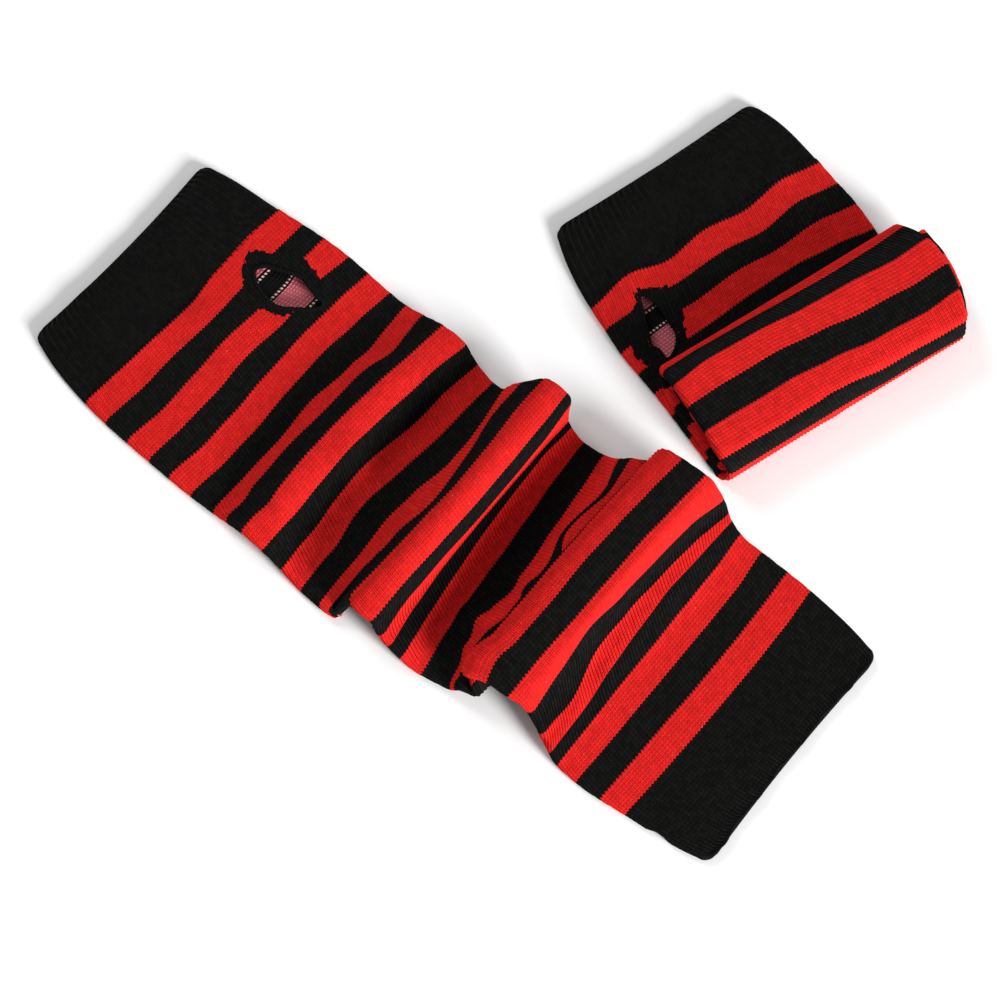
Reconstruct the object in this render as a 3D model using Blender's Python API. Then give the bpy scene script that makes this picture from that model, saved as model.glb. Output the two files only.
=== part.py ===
"""A pair of knitted, striped arm warmers with thumb holes.

The long one lies flat and is bunched into two high folds; the other is folded up on its own hand part.
Each is built along +X from the middle of its hand edge, with +Y towards its right edge, in millimetres,
and an empty places it. The tubes are walls round a thin gap, flat underneath where they rest.
"""
import math

import bmesh
import bpy
import numpy as np

MM = 0.001

# Cloth
WALL = 1.35           # thickness of the knitted wall
SEAM = 0.3            # gap between neighbouring pieces
SIDE_ROUND = 4.5      # largest radius of the fold along a side edge
SLOPE_STEP = 0.4      # cloth on each side of a section, over which its slope is read

# Stripes along the cloth, from the hand edge
CUFF = 28.0
RED = 9.4
BLACK = 8.4
STRIPES = 17
HAND_STRIPES = 3      # red stripes on the hand stretch, which ends after the black that follows them
HAND_END = CUFF + HAND_STRIPES * (RED + BLACK)
HEM_START = CUFF + STRIPES * RED + (STRIPES - 1) * BLACK
HEM = 26.0
CLOTH_LENGTH = HEM_START + HEM

# The arm stretch is in four parts that meet in its valleys, where the slopes narrow a gap along the cloth
VALLEY_SEAM = 0.66
ARM_PARTS = {
    "long_arm_step": (HAND_END, 126.4),
    "long_first_fold": (126.4, 197.6),
    "long_second_fold": (197.6, 295.0),
    "long_arm_end": (295.0, HEM_START),
}

# Cuff ribs
RIB_HEIGHT = 0.35
RIB_END = 1.0         # plain length of the ribs' ends, at the edge and at the seam
RIB_SHARP_ANGLE = 20.0

# Points round a section: over the top, round each side fold, and along the underside
TUBE_POINTS = (15, 3, 7)
CUFF_POINTS = (66, 6, 66)     # one for each rib and one for each groove, 72 ribs all round
HAND_STEP = 6.0               # cloth between two sections of each stretch
ARM_STEP = 4.6
HEM_STEP = 9.0
FOLDED_HAND_STEP = 7.0
SHARP_ANGLE = 50.0            # edges sharper than this are shaded flat

# Where the two stand: middle of the hand edge, and the turn of the length about +Z
LONG_PLACE = (-118.4, 74.6)
LONG_TURN = math.radians(-39.5)
FOLDED_PLACE = (48.2, 102.2)
FOLDED_TURN = math.radians(-56.0)

# The long warmer, a row for each fold, in mm. cloth is the distance along the knitted cloth; along and
# height are where the upper layer is at its left edge, middle and right edge; left and right are the
# side edges; under_along and the three under heights are the lower layer, which folds with the upper one.
COLUMNS = ("cloth", "along_left", "along_mid", "along_right", "height_left", "height_mid", "height_right",
           "left", "right", "under_along", "under_left", "under_mid", "under_right")
LONG_FOLDS = {
    "hand edge":     (0.0, 0.0, 0.0, 0.5, 2.9, 2.9, 2.9, -40.2, 38.8, 0.0, 0.0, 0.0, 0.0),
    "cuff seam":     (28.0, 27.3, 29.4, 28.6, 3.1, 3.2, 3.1, -46.8, 41.2, 29.4, 0.0, 0.0, 0.0),
    "thumb hole":    (55.2, 56.3, 55.8, 55.3, 3.2, 3.4, 3.3, -49.1, 42.3, 55.8, 0.0, 0.0, 0.0),
    "flat hand":     (73.0, 73.9, 73.4, 73.3, 3.2, 3.4, 3.3, -49.6, 40.9, 73.4, 0.0, 0.0, 0.0),
    "step foot":     (81.4, 81.3, 80.5, 80.2, 3.4, 4.2, 3.6, -49.5, 40.5, 81.2, 0.1, 0.8, 0.3),
    "step middle":   (90.8, 86.0, 87.3, 89.0, 6.0, 9.0, 6.0, -50.0, 40.7, 88.8, 2.9, 6.2, 2.9),
    "step top":      (99.2, 93.2, 93.7, 95.5, 7.5, 12.3, 7.8, -50.2, 40.9, 94.3, 4.5, 9.2, 4.8),
    "step back":     (108.6, 102.6, 102.8, 105.0, 6.8, 11.3, 7.6, -50.4, 40.7, 101.6, 3.9, 8.5, 4.6),
    "dip":           (117.0, 109.6, 108.2, 111.3, 4.2, 5.4, 4.2, -50.6, 39.0, 107.4, 1.2, 2.4, 1.2),
    "first valley":  (126.4, 117.0, 117.0, 118.6, 3.3, 3.6, 3.3, -51.8, 37.3, 117.0, 0.0, 0.2, 0.0),
    "first foot":    (134.8, 128.3, 125.9, 122.6, 4.2, 6.3, 5.3, -52.6, 37.2, 127.2, 1.2, 3.4, 2.4),
    "first front":   (144.2, 131.0, 132.9, 125.5, 6.4, 13.0, 9.0, -51.6, 39.8, 135.2, 3.6, 10.9, 6.4),
    "first brow":    (152.6, 134.4, 136.4, 133.3, 12.9, 19.0, 15.0, -48.9, 44.0, 138.4, 10.4, 16.4, 12.4),
    "first crest":   (157.5, 139.1, 141.0, 138.5, 14.2, 20.0, 16.2, -49.4, 44.2, 141.1, 11.1, 16.9, 13.1),
    "first back":    (162.0, 144.2, 145.0, 143.3, 13.5, 18.6, 15.5, -49.2, 44.0, 143.4, 10.8, 16.0, 12.9),
    "back step":     (170.4, 146.2, 146.8, 145.2, 9.5, 11.6, 10.5, -49.1, 42.0, 143.9, 7.6, 10.6, 9.0),
    "back crease":   (179.8, 149.8, 146.7, 145.5, 7.0, 7.6, 7.6, -49.7, 41.3, 144.9, 4.4, 5.3, 5.2),
    "back apron":    (188.2, 155.2, 149.4, 146.5, 5.2, 6.0, 5.8, -50.0, 40.4, 148.5, 2.2, 3.0, 2.8),
    "second valley": (197.6, 161.0, 155.4, 153.0, 3.4, 3.8, 3.6, -49.8, 39.2, 155.2, 0.2, 0.6, 0.4),
    "second floor":  (206.0, 167.6, 165.0, 161.6, 3.5, 4.4, 4.4, -48.6, 40.2, 165.4, 0.3, 1.2, 1.2),
    "second front":  (215.4, 170.8, 171.6, 169.2, 6.0, 10.6, 9.0, -47.4, 43.0, 173.6, 3.2, 8.3, 6.8),
    "second face":   (230.0, 172.4, 172.8, 172.2, 9.0, 13.6, 11.8, -44.9, 46.6, 175.6, 6.9, 12.3, 10.3),
    "second brow":   (241.6, 175.0, 174.8, 175.2, 12.2, 17.4, 14.8, -42.6, 48.0, 177.0, 9.9, 15.1, 12.5),
    "second crest":  (251.0, 181.2, 181.3, 181.1, 14.6, 19.8, 17.0, -41.4, 48.5, 181.4, 11.5, 16.7, 13.9),
    "crest back":    (259.4, 189.8, 190.0, 189.9, 14.6, 19.4, 17.0, -41.6, 48.9, 189.5, 11.5, 16.3, 13.9),
    "second back":   (268.8, 198.4, 196.0, 197.4, 10.6, 15.0, 13.2, -41.2, 48.7, 193.4, 8.5, 13.4, 11.2),
    "dent top":      (277.2, 204.5, 198.2, 200.4, 7.0, 9.6, 8.5, -43.2, 48.4, 196.2, 4.2, 7.3, 6.0),
    "dent":          (286.6, 208.0, 204.7, 203.9, 5.4, 7.4, 6.2, -45.0, 46.2, 203.7, 2.4, 4.5, 3.2),
    "third foot":    (295.0, 211.2, 210.0, 209.6, 3.7, 4.2, 4.0, -46.0, 45.0, 209.6, 0.5, 1.0, 0.8),
    "flat arm":      (304.4, 219.4, 219.0, 218.0, 3.2, 3.3, 3.2, -46.5, 44.9, 219.0, 0.0, 0.0, 0.0),
    "hem seam":      (322.2, 235.6, 236.3, 235.4, 3.0, 3.1, 3.0, -45.1, 44.3, 236.3, 0.0, 0.0, 0.0),
    "hem edge":      (348.2, 262.5, 261.9, 261.5, 2.9, 2.9, 2.9, -41.4, 40.5, 261.9, 0.0, 0.0, 0.0),
}

# The hand part of the folded warmer, with the same columns; the roll lies on its far end.
FOLDED_CUFF = 25.4
FOLDED_END = 88.0
FOLDED_FOLDS = {
    "hand edge":   (0.0, 1.4, 0.3, -1.0, 2.9, 2.9, 2.9, -39.2, 39.4, 0.3, 0.0, 0.0, 0.0),
    "cuff seam":   (25.4, 27.0, 25.4, 24.6, 3.1, 3.2, 3.1, -44.9, 43.6, 25.4, 0.0, 0.0, 0.0),
    "thumb hole":  (46.0, 46.0, 46.0, 45.4, 3.3, 3.4, 3.2, -46.4, 44.3, 46.0, 0.0, 0.0, 0.0),
    "under roll":  (60.0, 60.0, 60.0, 59.6, 3.0, 3.0, 3.0, -45.6, 43.6, 60.0, 0.0, 0.0, 0.0),
    "inner end":   (88.0, 88.0, 88.0, 88.0, 2.9, 2.9, 2.9, -45.4, 43.4, 88.0, 0.0, 0.0, 0.0),
}

# Thumb holes: middle of the slit, half its length, how far each lip bows out, and the slit's turn
HOLE_COLUMNS = ("along", "across", "half_length", "low_lip", "high_lip", "turn")
LONG_HOLE = dict(zip(HOLE_COLUMNS, (49.3, 20.6, 11.8, 6.0, 5.2, math.radians(8.8))))
FOLDED_HOLE = dict(zip(HOLE_COLUMNS, (44.8, -32.2, 12.6, 3.8, 5.0, math.radians(-14.0))))
HOLE_POINTS = 28
LIP_POWER = 1.5               # 1 gives a slit with round ends, 2 one with pointed ends
CUTTER_FOOT = 1.7             # the cutter stands in the gap between the two walls
CUTTER_TOP = 12.0

# Overcast edging round a thumb hole: section of the bead, out from the slit and up from the cloth
EDGING_PROFILE = ((0.3, SEAM), (0.3, 1.0), (1.3, 1.3), (2.6, 0.7), (2.6, SEAM))

# The rolled-up rest of the folded warmer: layers from the floor up, in mm
ROLL_COLUMNS = ("bottom", "top", "back", "front_left", "front_right",
                "left_back", "left_front", "right_back", "right_front")
ROLL_LAYERS = {
    "front turn":  (0.0, 3.1, 88.3, 101.6, 102.2, -46.0, -45.6, 45.0, 44.6),
    "first layer": (3.3, 6.9, 63.5, 102.4, 103.0, -44.6, -45.8, 49.6, 46.0),
    "inner layer": (6.9, 10.9, 64.5, 102.6, 103.2, -43.0, -45.4, 55.0, 48.2),
    "top layer":   (10.9, 15.4, 61.4, 102.0, 102.8, -44.4, -46.0, 50.2, 44.8),
}
LAYER_GROOVE = 1.1     # how far the cloth turns in between two layers
ROLL_CORNER = 6.0      # radius of the roll's corners, seen from above
FRONT_ROUND = 2.6      # how far the round front draws back at its foot and its top
ROLL_CROWN = 0.5       # rise of the roll's top towards its middle
ROLL_SIDE_POINTS = (8, 3, 8, 3)   # points between the corners: back, right, front, left
CORNER_POINTS = 5
LEAST_CORNER = 2.0

# The bulging edge of one layer: share of its height, and how far it is drawn in there
LAYER_EDGE = ((0.0, LAYER_GROOVE), (0.25, 0.2), (0.6, 0.0), (0.85, 0.35), (1.0, LAYER_GROOVE))
TOP_EDGE = ((4.0, 0.35), (12.0, ROLL_CROWN))   # over the top: drawn in, and raised by

BLACK_KNIT = ((0.009, 0.0085, 0.008), 0.95)
RED_KNIT = ((0.56, 0.020, 0.018), 0.90)


def clear_scene():
    for item in list(bpy.data.objects):
        bpy.data.objects.remove(item, do_unlink=True)


def knit_material(name, finish):
    colour, roughness = finish
    material = bpy.data.materials.new(name)
    material.use_nodes = True
    shader = material.node_tree.nodes["Principled BSDF"]
    shader.inputs["Base Color"].default_value = (*colour, 1.0)
    shader.inputs["Roughness"].default_value = roughness
    shader.inputs["Metallic"].default_value = 0.0
    return material


def smooth_rows(rows, cloth):
    """Smooth curve through a table's rows: every column at one distance along the cloth."""
    table = np.array(list(rows.values()))
    knots = table[:, 0]
    steps = np.diff(knots)
    slopes = np.diff(table, axis=0) / steps[:, None]
    share = (steps[1:] / (steps[:-1] + steps[1:]))[:, None]
    tangents = np.vstack([slopes[:1], share * slopes[:-1] + (1.0 - share) * slopes[1:], slopes[-1:]])
    index = int(np.clip(np.searchsorted(knots, cloth, side="right") - 1, 0, len(knots) - 2))
    step = steps[index]
    t = (cloth - knots[index]) / step
    values = ((2 * t**3 - 3 * t**2 + 1) * table[index] + (t**3 - 2 * t**2 + t) * step * tangents[index]
              + (-2 * t**3 + 3 * t**2) * table[index + 1] + (t**3 - t**2) * step * tangents[index + 1])
    return dict(zip(COLUMNS, values))


def bow(left, middle, right, across):
    """Value at a place across the cloth, 0 left to 1 right, of the bow through three values."""
    return left * (1 - across) * (1 - 2 * across) + 4 * middle * across * (1 - across) \
        + right * across * (2 * across - 1)


def upper_point(row, across):
    along = bow(row["along_left"], row["along_mid"], row["along_right"], across)
    side = row["left"] + (row["right"] - row["left"]) * across
    height = bow(row["height_left"], row["height_mid"], row["height_right"], across)
    return np.array((along, side, height))


def lower_point(row, across):
    upper = upper_point(row, across)
    height = bow(row["under_left"], row["under_mid"], row["under_right"], across)
    return np.array((upper[0] + row["under_along"] - row["along_mid"], upper[1], max(height, 0.0)))


def section(row, top_count, arc_count, bottom_count):
    """Closed loop round the flattened tube: over the top, round the right fold, back below."""
    width = row["right"] - row["left"]
    folds = []
    for across in (0.0, 1.0):
        thickness = np.linalg.norm((upper_point(row, across) - lower_point(row, across))[::2])
        folds.append(min(thickness / 2, SIDE_ROUND) / width)
    left_share, right_share = folds
    loop = [upper_point(row, across) for across in np.linspace(left_share, 1 - right_share, top_count)]
    loop += side_fold(row, 1 - right_share, right_share, arc_count)
    loop += [lower_point(row, across) for across in np.linspace(1 - right_share, left_share, bottom_count)]
    loop += side_fold(row, left_share, -left_share, arc_count)[::-1]
    return loop


def side_fold(row, across, share, arc_count):
    """Points on the half ellipse that joins the upper layer to the lower one past a side."""
    upper, lower = upper_point(row, across), lower_point(row, across)
    reach = share * (row["right"] - row["left"])
    points = []
    for index in range(1, arc_count + 1):
        angle = math.pi * index / (arc_count + 1)
        blend = (1 - math.cos(angle)) / 2
        point = upper + (lower - upper) * blend
        point[1] += reach * math.sin(angle)
        points.append(point)
    return points


def section_moved_in(rows, cloth, counts, distance):
    """The same loop moved in from the skin, square to its slope both ways."""
    before, loop, after = (np.array(section(smooth_rows(rows, cloth + step), *counts))
                           for step in (-SLOPE_STEP, 0.0, SLOPE_STEP))
    around = np.roll(loop, -1, axis=0) - np.roll(loop, 1, axis=0)
    normal = np.cross(after - before, around)
    normal /= np.linalg.norm(normal, axis=1, keepdims=True)
    return loop - distance * normal


def closed_shell(name, rings, material, parent, sharp_angle=SHARP_ANGLE):
    """One closed body from rings of equal length, each joined to the next and the last to the first."""
    count, size = len(rings), len(rings[0])
    bm = bmesh.new()
    bmesh.ops.create_grid(bm, x_segments=size, y_segments=count, size=1.0)
    for vert in bm.verts:
        column = round((vert.co.x + 1) / 2 * size) % size
        line = round((vert.co.y + 1) / 2 * count) % count
        vert.co = [value * MM for value in rings[line][column]]
    bmesh.ops.remove_doubles(bm, verts=bm.verts, dist=1e-7)
    return finish_piece(name, bm, material, parent, sharp_angle)


def finish_piece(name, bm, material, parent, sharp_angle=SHARP_ANGLE):
    bmesh.ops.recalc_face_normals(bm, faces=bm.faces)
    mesh = bpy.data.meshes.new(name)
    bm.to_mesh(mesh)
    bm.free()
    mesh.shade_smooth()
    mesh.set_sharp_from_angle(angle=math.radians(sharp_angle))
    mesh.materials.append(material)
    piece = bpy.data.objects.new(name, mesh)
    bpy.context.scene.collection.objects.link(piece)
    piece.parent = parent
    return piece


def tube(name, rows, stations, material, parent):
    """A stretch of the flattened tube between its first and last stations along the cloth."""
    outer = [section(smooth_rows(rows, cloth), *TUBE_POINTS) for cloth in stations]
    inner = [section_moved_in(rows, cloth, TUBE_POINTS, WALL) for cloth in stations]
    return closed_shell(name, [*outer, *inner[::-1]], material, parent)


def ribbed_tube(name, rows, start, end, material, parent):
    """A cuff with raised ribs round its outside over a plain inside."""
    stations = (start, start + RIB_END, (start + end) / 2, end - RIB_END, end)
    inside_stations = (start, (start + end) / 2, end)
    rib = [section(smooth_rows(rows, cloth), *CUFF_POINTS) for cloth in stations]
    groove = [section_moved_in(rows, cloth, CUFF_POINTS, RIB_HEIGHT) for cloth in stations]
    inner = [section_moved_in(rows, cloth, CUFF_POINTS, WALL) for cloth in inside_stations]
    outer = [[(groove if column % 2 else rib)[line][column] for column in range(len(rib[line]))]
             for line in range(len(stations))]
    return closed_shell(name, [*outer, *inner[::-1]], material, parent, RIB_SHARP_ANGLE)


def stations_between(rows, start, end, spacing):
    """Distances along the cloth: every row between the ends, and even steps between the rows."""
    marks = [start] + [row[0] for row in rows.values() if start + 1.0 < row[0] < end - 1.0] + [end]
    stations = []
    for first, last in zip(marks, marks[1:]):
        steps = max(1, round((last - first) / spacing))
        stations += [first + (last - first) * step / steps for step in range(steps)]
    return stations + [end]


def slit_points(hole, grow):
    """Outline of a slit that narrows to its ends, let out by some distance, as along and across."""
    points = []
    for index in range(HOLE_POINTS):
        angle = 2 * math.pi * index / HOLE_POINTS
        lip = hole["high_lip"] if angle < math.pi else -hole["low_lip"]
        x = (hole["half_length"] + grow) * math.cos(angle)
        y = (lip + math.copysign(grow, lip)) * abs(math.sin(angle)) ** LIP_POWER
        points.append((hole["along"] + x * math.cos(hole["turn"]) - y * math.sin(hole["turn"]),
                       hole["across"] + x * math.sin(hole["turn"]) + y * math.cos(hole["turn"])))
    return points


def surface_height(rows, along, across):
    """Height of the upper layer at a place on the flat hand part, where cloth and length agree."""
    row = smooth_rows(rows, along)
    return upper_point(row, (across - row["left"]) / (row["right"] - row["left"]))[2]


def cut_slit(piece, hole, parent):
    """Cut the thumb hole through the upper layer only."""
    bm = bmesh.new()
    bmesh.ops.create_circle(bm, cap_ends=True, segments=HOLE_POINTS, radius=1.0)
    bm.verts.ensure_lookup_table()
    for vert, (along, across) in zip(bm.verts, slit_points(hole, 0.0)):
        vert.co = (along * MM, across * MM, CUTTER_FOOT * MM)
    raised = bmesh.ops.extrude_face_region(bm, geom=bm.faces[:])
    lifted = [item for item in raised["geom"] if isinstance(item, bmesh.types.BMVert)]
    bmesh.ops.translate(bm, verts=lifted, vec=(0, 0, (CUTTER_TOP - CUTTER_FOOT) * MM))
    cutter = finish_piece(piece.name + "_cutter", bm, piece.data.materials[0], parent)
    cutter.hide_render = True
    cutter.display_type = "WIRE"
    cut = piece.modifiers.new("thumb hole", "BOOLEAN")
    cut.operation = "DIFFERENCE"
    cut.object = cutter


def edging(name, rows, hole, material, parent):
    """Overcast edging that lies on the cloth all round a thumb hole."""
    rings = [[(along, across, surface_height(rows, along, across) + lift)
              for along, across in slit_points(hole, grow)] for grow, lift in EDGING_PROFILE]
    return closed_shell(name, rings, material, parent)


def roll_layers():
    return [dict(zip(ROLL_COLUMNS, row)) for row in ROLL_LAYERS.values()]


def roll_outline(layer, inset, height):
    """Rounded outline of the roll at one height, drawn in by an inset."""
    middle = roll_layers()[-1]["top"] / 2
    front_curve = FRONT_ROUND * (height / middle - 1.0) ** 2
    corners = ((layer["back"] + inset, layer["left_back"] + inset),
               (layer["back"] + inset, layer["right_back"] - inset),
               (layer["front_right"] - front_curve, layer["right_front"] - inset),
               (layer["front_left"] - front_curve, layer["left_front"] + inset))
    radius = max(ROLL_CORNER - inset, LEAST_CORNER)
    turns = [rounded_corner(corner, corners[index - 1], corners[(index + 1) % 4], radius)
             for index, corner in enumerate(corners)]
    points = []
    for index, side_count in enumerate(ROLL_SIDE_POINTS):
        start, end = turns[index][-1], turns[(index + 1) % 4][0]
        steps = np.linspace(0.0, 1.0, side_count + 2)[1:-1]
        points += turns[index] + [start + (end - start) * step for step in steps]
    return [(along, across, height) for along, across in points]


def rounded_corner(corner, before, after, radius):
    corner, before, after = (np.array(point) for point in (corner, before, after))
    back = (before - corner) / np.linalg.norm(before - corner)
    ahead = (after - corner) / np.linalg.norm(after - corner)
    start, end = corner + back * radius, corner + ahead * radius
    return [(1 - t)**2 * start + 2 * t * (1 - t) * corner + t**2 * end
            for t in np.linspace(0.0, 1.0, CORNER_POINTS)]


def roll(name, material, parent):
    """The rolled-up layers as one rounded solid with a groove between layers at its edges."""
    layers = roll_layers()
    rings = []
    for number, layer in enumerate(layers):
        between = 0 < number < len(layers) - 1
        for share, inset in LAYER_EDGE[:-1] if between else LAYER_EDGE:
            height = layer["bottom"] + (layer["top"] - layer["bottom"]) * share
            rings.append(roll_outline(layer, inset, height))
    for inset, rise in TOP_EDGE:
        rings.append(roll_outline(layers[-1], inset, layers[-1]["top"] + rise))
    bm = bmesh.new()
    size, count = len(rings[0]), len(rings)
    bmesh.ops.create_grid(bm, x_segments=size, y_segments=count - 1, size=1.0)
    for vert in bm.verts:
        column = round((vert.co.x + 1) / 2 * size) % size
        line = round((vert.co.y + 1) / 2 * (count - 1))
        vert.co = [value * MM for value in rings[line][column]]
    bmesh.ops.remove_doubles(bm, verts=bm.verts, dist=1e-7)
    bmesh.ops.holes_fill(bm, edges=[edge for edge in bm.edges if edge.is_boundary])
    return finish_piece(name, bm, material, parent)


def empty_at(name, place, turn):
    empty = bpy.data.objects.new(name, None)
    empty.location = (place[0] * MM, place[1] * MM, 0.0)
    empty.rotation_euler = (0.0, 0.0, turn)
    bpy.context.scene.collection.objects.link(empty)
    return empty


def build_long(black, red):
    place = empty_at("long_place", LONG_PLACE, LONG_TURN)
    half = SEAM / 2
    ribbed_tube("long_hand_cuff", LONG_FOLDS, 0.0, CUFF - half, black, place)
    hand = tube("long_hand_stretch", LONG_FOLDS,
                stations_between(LONG_FOLDS, CUFF + half, HAND_END - half, HAND_STEP), red, place)
    cut_slit(hand, LONG_HOLE, place)
    edging("long_thumb_edging", LONG_FOLDS, LONG_HOLE, black, place)
    for name, (start, end) in ARM_PARTS.items():
        first = start + (half if start == HAND_END else VALLEY_SEAM / 2)
        last = end - (half if end == HEM_START else VALLEY_SEAM / 2)
        tube(name, LONG_FOLDS, stations_between(LONG_FOLDS, first, last, ARM_STEP), red, place)
    tube("long_arm_hem", LONG_FOLDS,
         stations_between(LONG_FOLDS, HEM_START + half, CLOTH_LENGTH, HEM_STEP), black, place)


def build_folded(black, red):
    place = empty_at("folded_place", FOLDED_PLACE, FOLDED_TURN)
    half = SEAM / 2
    ribbed_tube("folded_hand_cuff", FOLDED_FOLDS, 0.0, FOLDED_CUFF - half, black, place)
    stations = stations_between(FOLDED_FOLDS, FOLDED_CUFF + half, FOLDED_END, FOLDED_HAND_STEP)
    hand = tube("folded_hand_stretch", FOLDED_FOLDS, stations, red, place)
    cut_slit(hand, FOLDED_HOLE, place)
    edging("folded_thumb_edging", FOLDED_FOLDS, FOLDED_HOLE, black, place)
    roll("folded_roll", red, place)


def main():
    clear_scene()
    black = knit_material("black knit", BLACK_KNIT)
    red = knit_material("red knit", RED_KNIT)
    build_long(black, red)
    build_folded(black, red)


main()
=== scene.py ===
"""Looks for a pair of knitted, striped arm warmers with thumb holes.

The long one lies flat, bunched into two high folds. The other is rolled up on its own hand part. Each is a
flattened tube of knit, given as a table of folds: a row says where the cloth is at one distance along it.
Tables are in millimetres, along the warmer and across it, and a place turns them into the frame's metres.
"""

import math
from contextlib import contextmanager

import bmesh
import bpy
import numpy as np
from bpy.props import FloatProperty, FloatVectorProperty, PointerProperty
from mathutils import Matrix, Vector


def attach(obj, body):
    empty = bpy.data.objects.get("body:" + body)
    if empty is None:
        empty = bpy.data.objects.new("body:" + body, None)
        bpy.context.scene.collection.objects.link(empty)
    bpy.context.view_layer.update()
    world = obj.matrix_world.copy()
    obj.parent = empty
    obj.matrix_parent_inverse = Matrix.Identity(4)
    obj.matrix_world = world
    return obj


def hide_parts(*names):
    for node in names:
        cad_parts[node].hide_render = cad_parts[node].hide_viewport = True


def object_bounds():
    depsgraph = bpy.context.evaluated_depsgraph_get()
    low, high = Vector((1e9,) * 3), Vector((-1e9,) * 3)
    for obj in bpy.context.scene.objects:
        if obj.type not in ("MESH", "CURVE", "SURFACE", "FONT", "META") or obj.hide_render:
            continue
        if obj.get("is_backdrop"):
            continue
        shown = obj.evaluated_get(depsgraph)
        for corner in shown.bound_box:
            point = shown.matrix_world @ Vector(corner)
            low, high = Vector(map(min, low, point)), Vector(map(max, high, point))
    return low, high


bl_info = {
    "name": "Knitted arm warmers",
    "version": (1, 0, 0),
    "blender": (4, 5, 0),
    "location": "3D View > Sidebar > Arm warmers",
    "description": "Dresses the packed pair of arm warmers in striped knit",
    "category": "Object",
}

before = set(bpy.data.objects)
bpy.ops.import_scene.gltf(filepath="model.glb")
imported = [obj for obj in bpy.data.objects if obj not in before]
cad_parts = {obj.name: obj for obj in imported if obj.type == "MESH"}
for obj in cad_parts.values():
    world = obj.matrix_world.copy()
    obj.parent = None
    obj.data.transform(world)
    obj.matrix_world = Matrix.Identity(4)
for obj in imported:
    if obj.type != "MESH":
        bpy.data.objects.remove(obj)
CAD_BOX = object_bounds()

MM = 0.001
BODY = "root"

# Stripes along the cloth, from the hand edge
CUFF = 28.0
RED = 9.4
BLACK = 8.4
STRIPES = 17
HAND_STRIPES = 3
HAND_END = CUFF + HAND_STRIPES * (RED + BLACK)
HEM_START = CUFF + STRIPES * RED + (STRIPES - 1) * BLACK
HEM = 26.0
CLOTH_LENGTH = HEM_START + HEM

# Knit
HALF_WALES = 72        # wales from the middle of the top, round a side, to the middle of the underside
MOST_SHOWN = 60.0      # most wales on the top and the side fold together
LEAN = 0.17            # wales that the plain knit leans over in each millimetre of its length
RIB_WALES = 2          # wales in one rib of the cuff
SIDE_ROUND = 4.5       # largest reach of the fold along a side edge
SLOPE_STEP = 0.4       # cloth on each side of a line of points, over which its slope is read

# Where the two warmers stand: middle of the hand edge, and the turn of the length about +Z
LONG_PLACE = (-118.4, 74.6, math.radians(-39.5))
FOLDED_PLACE = (48.2, 102.2, math.radians(-56.0))

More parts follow.
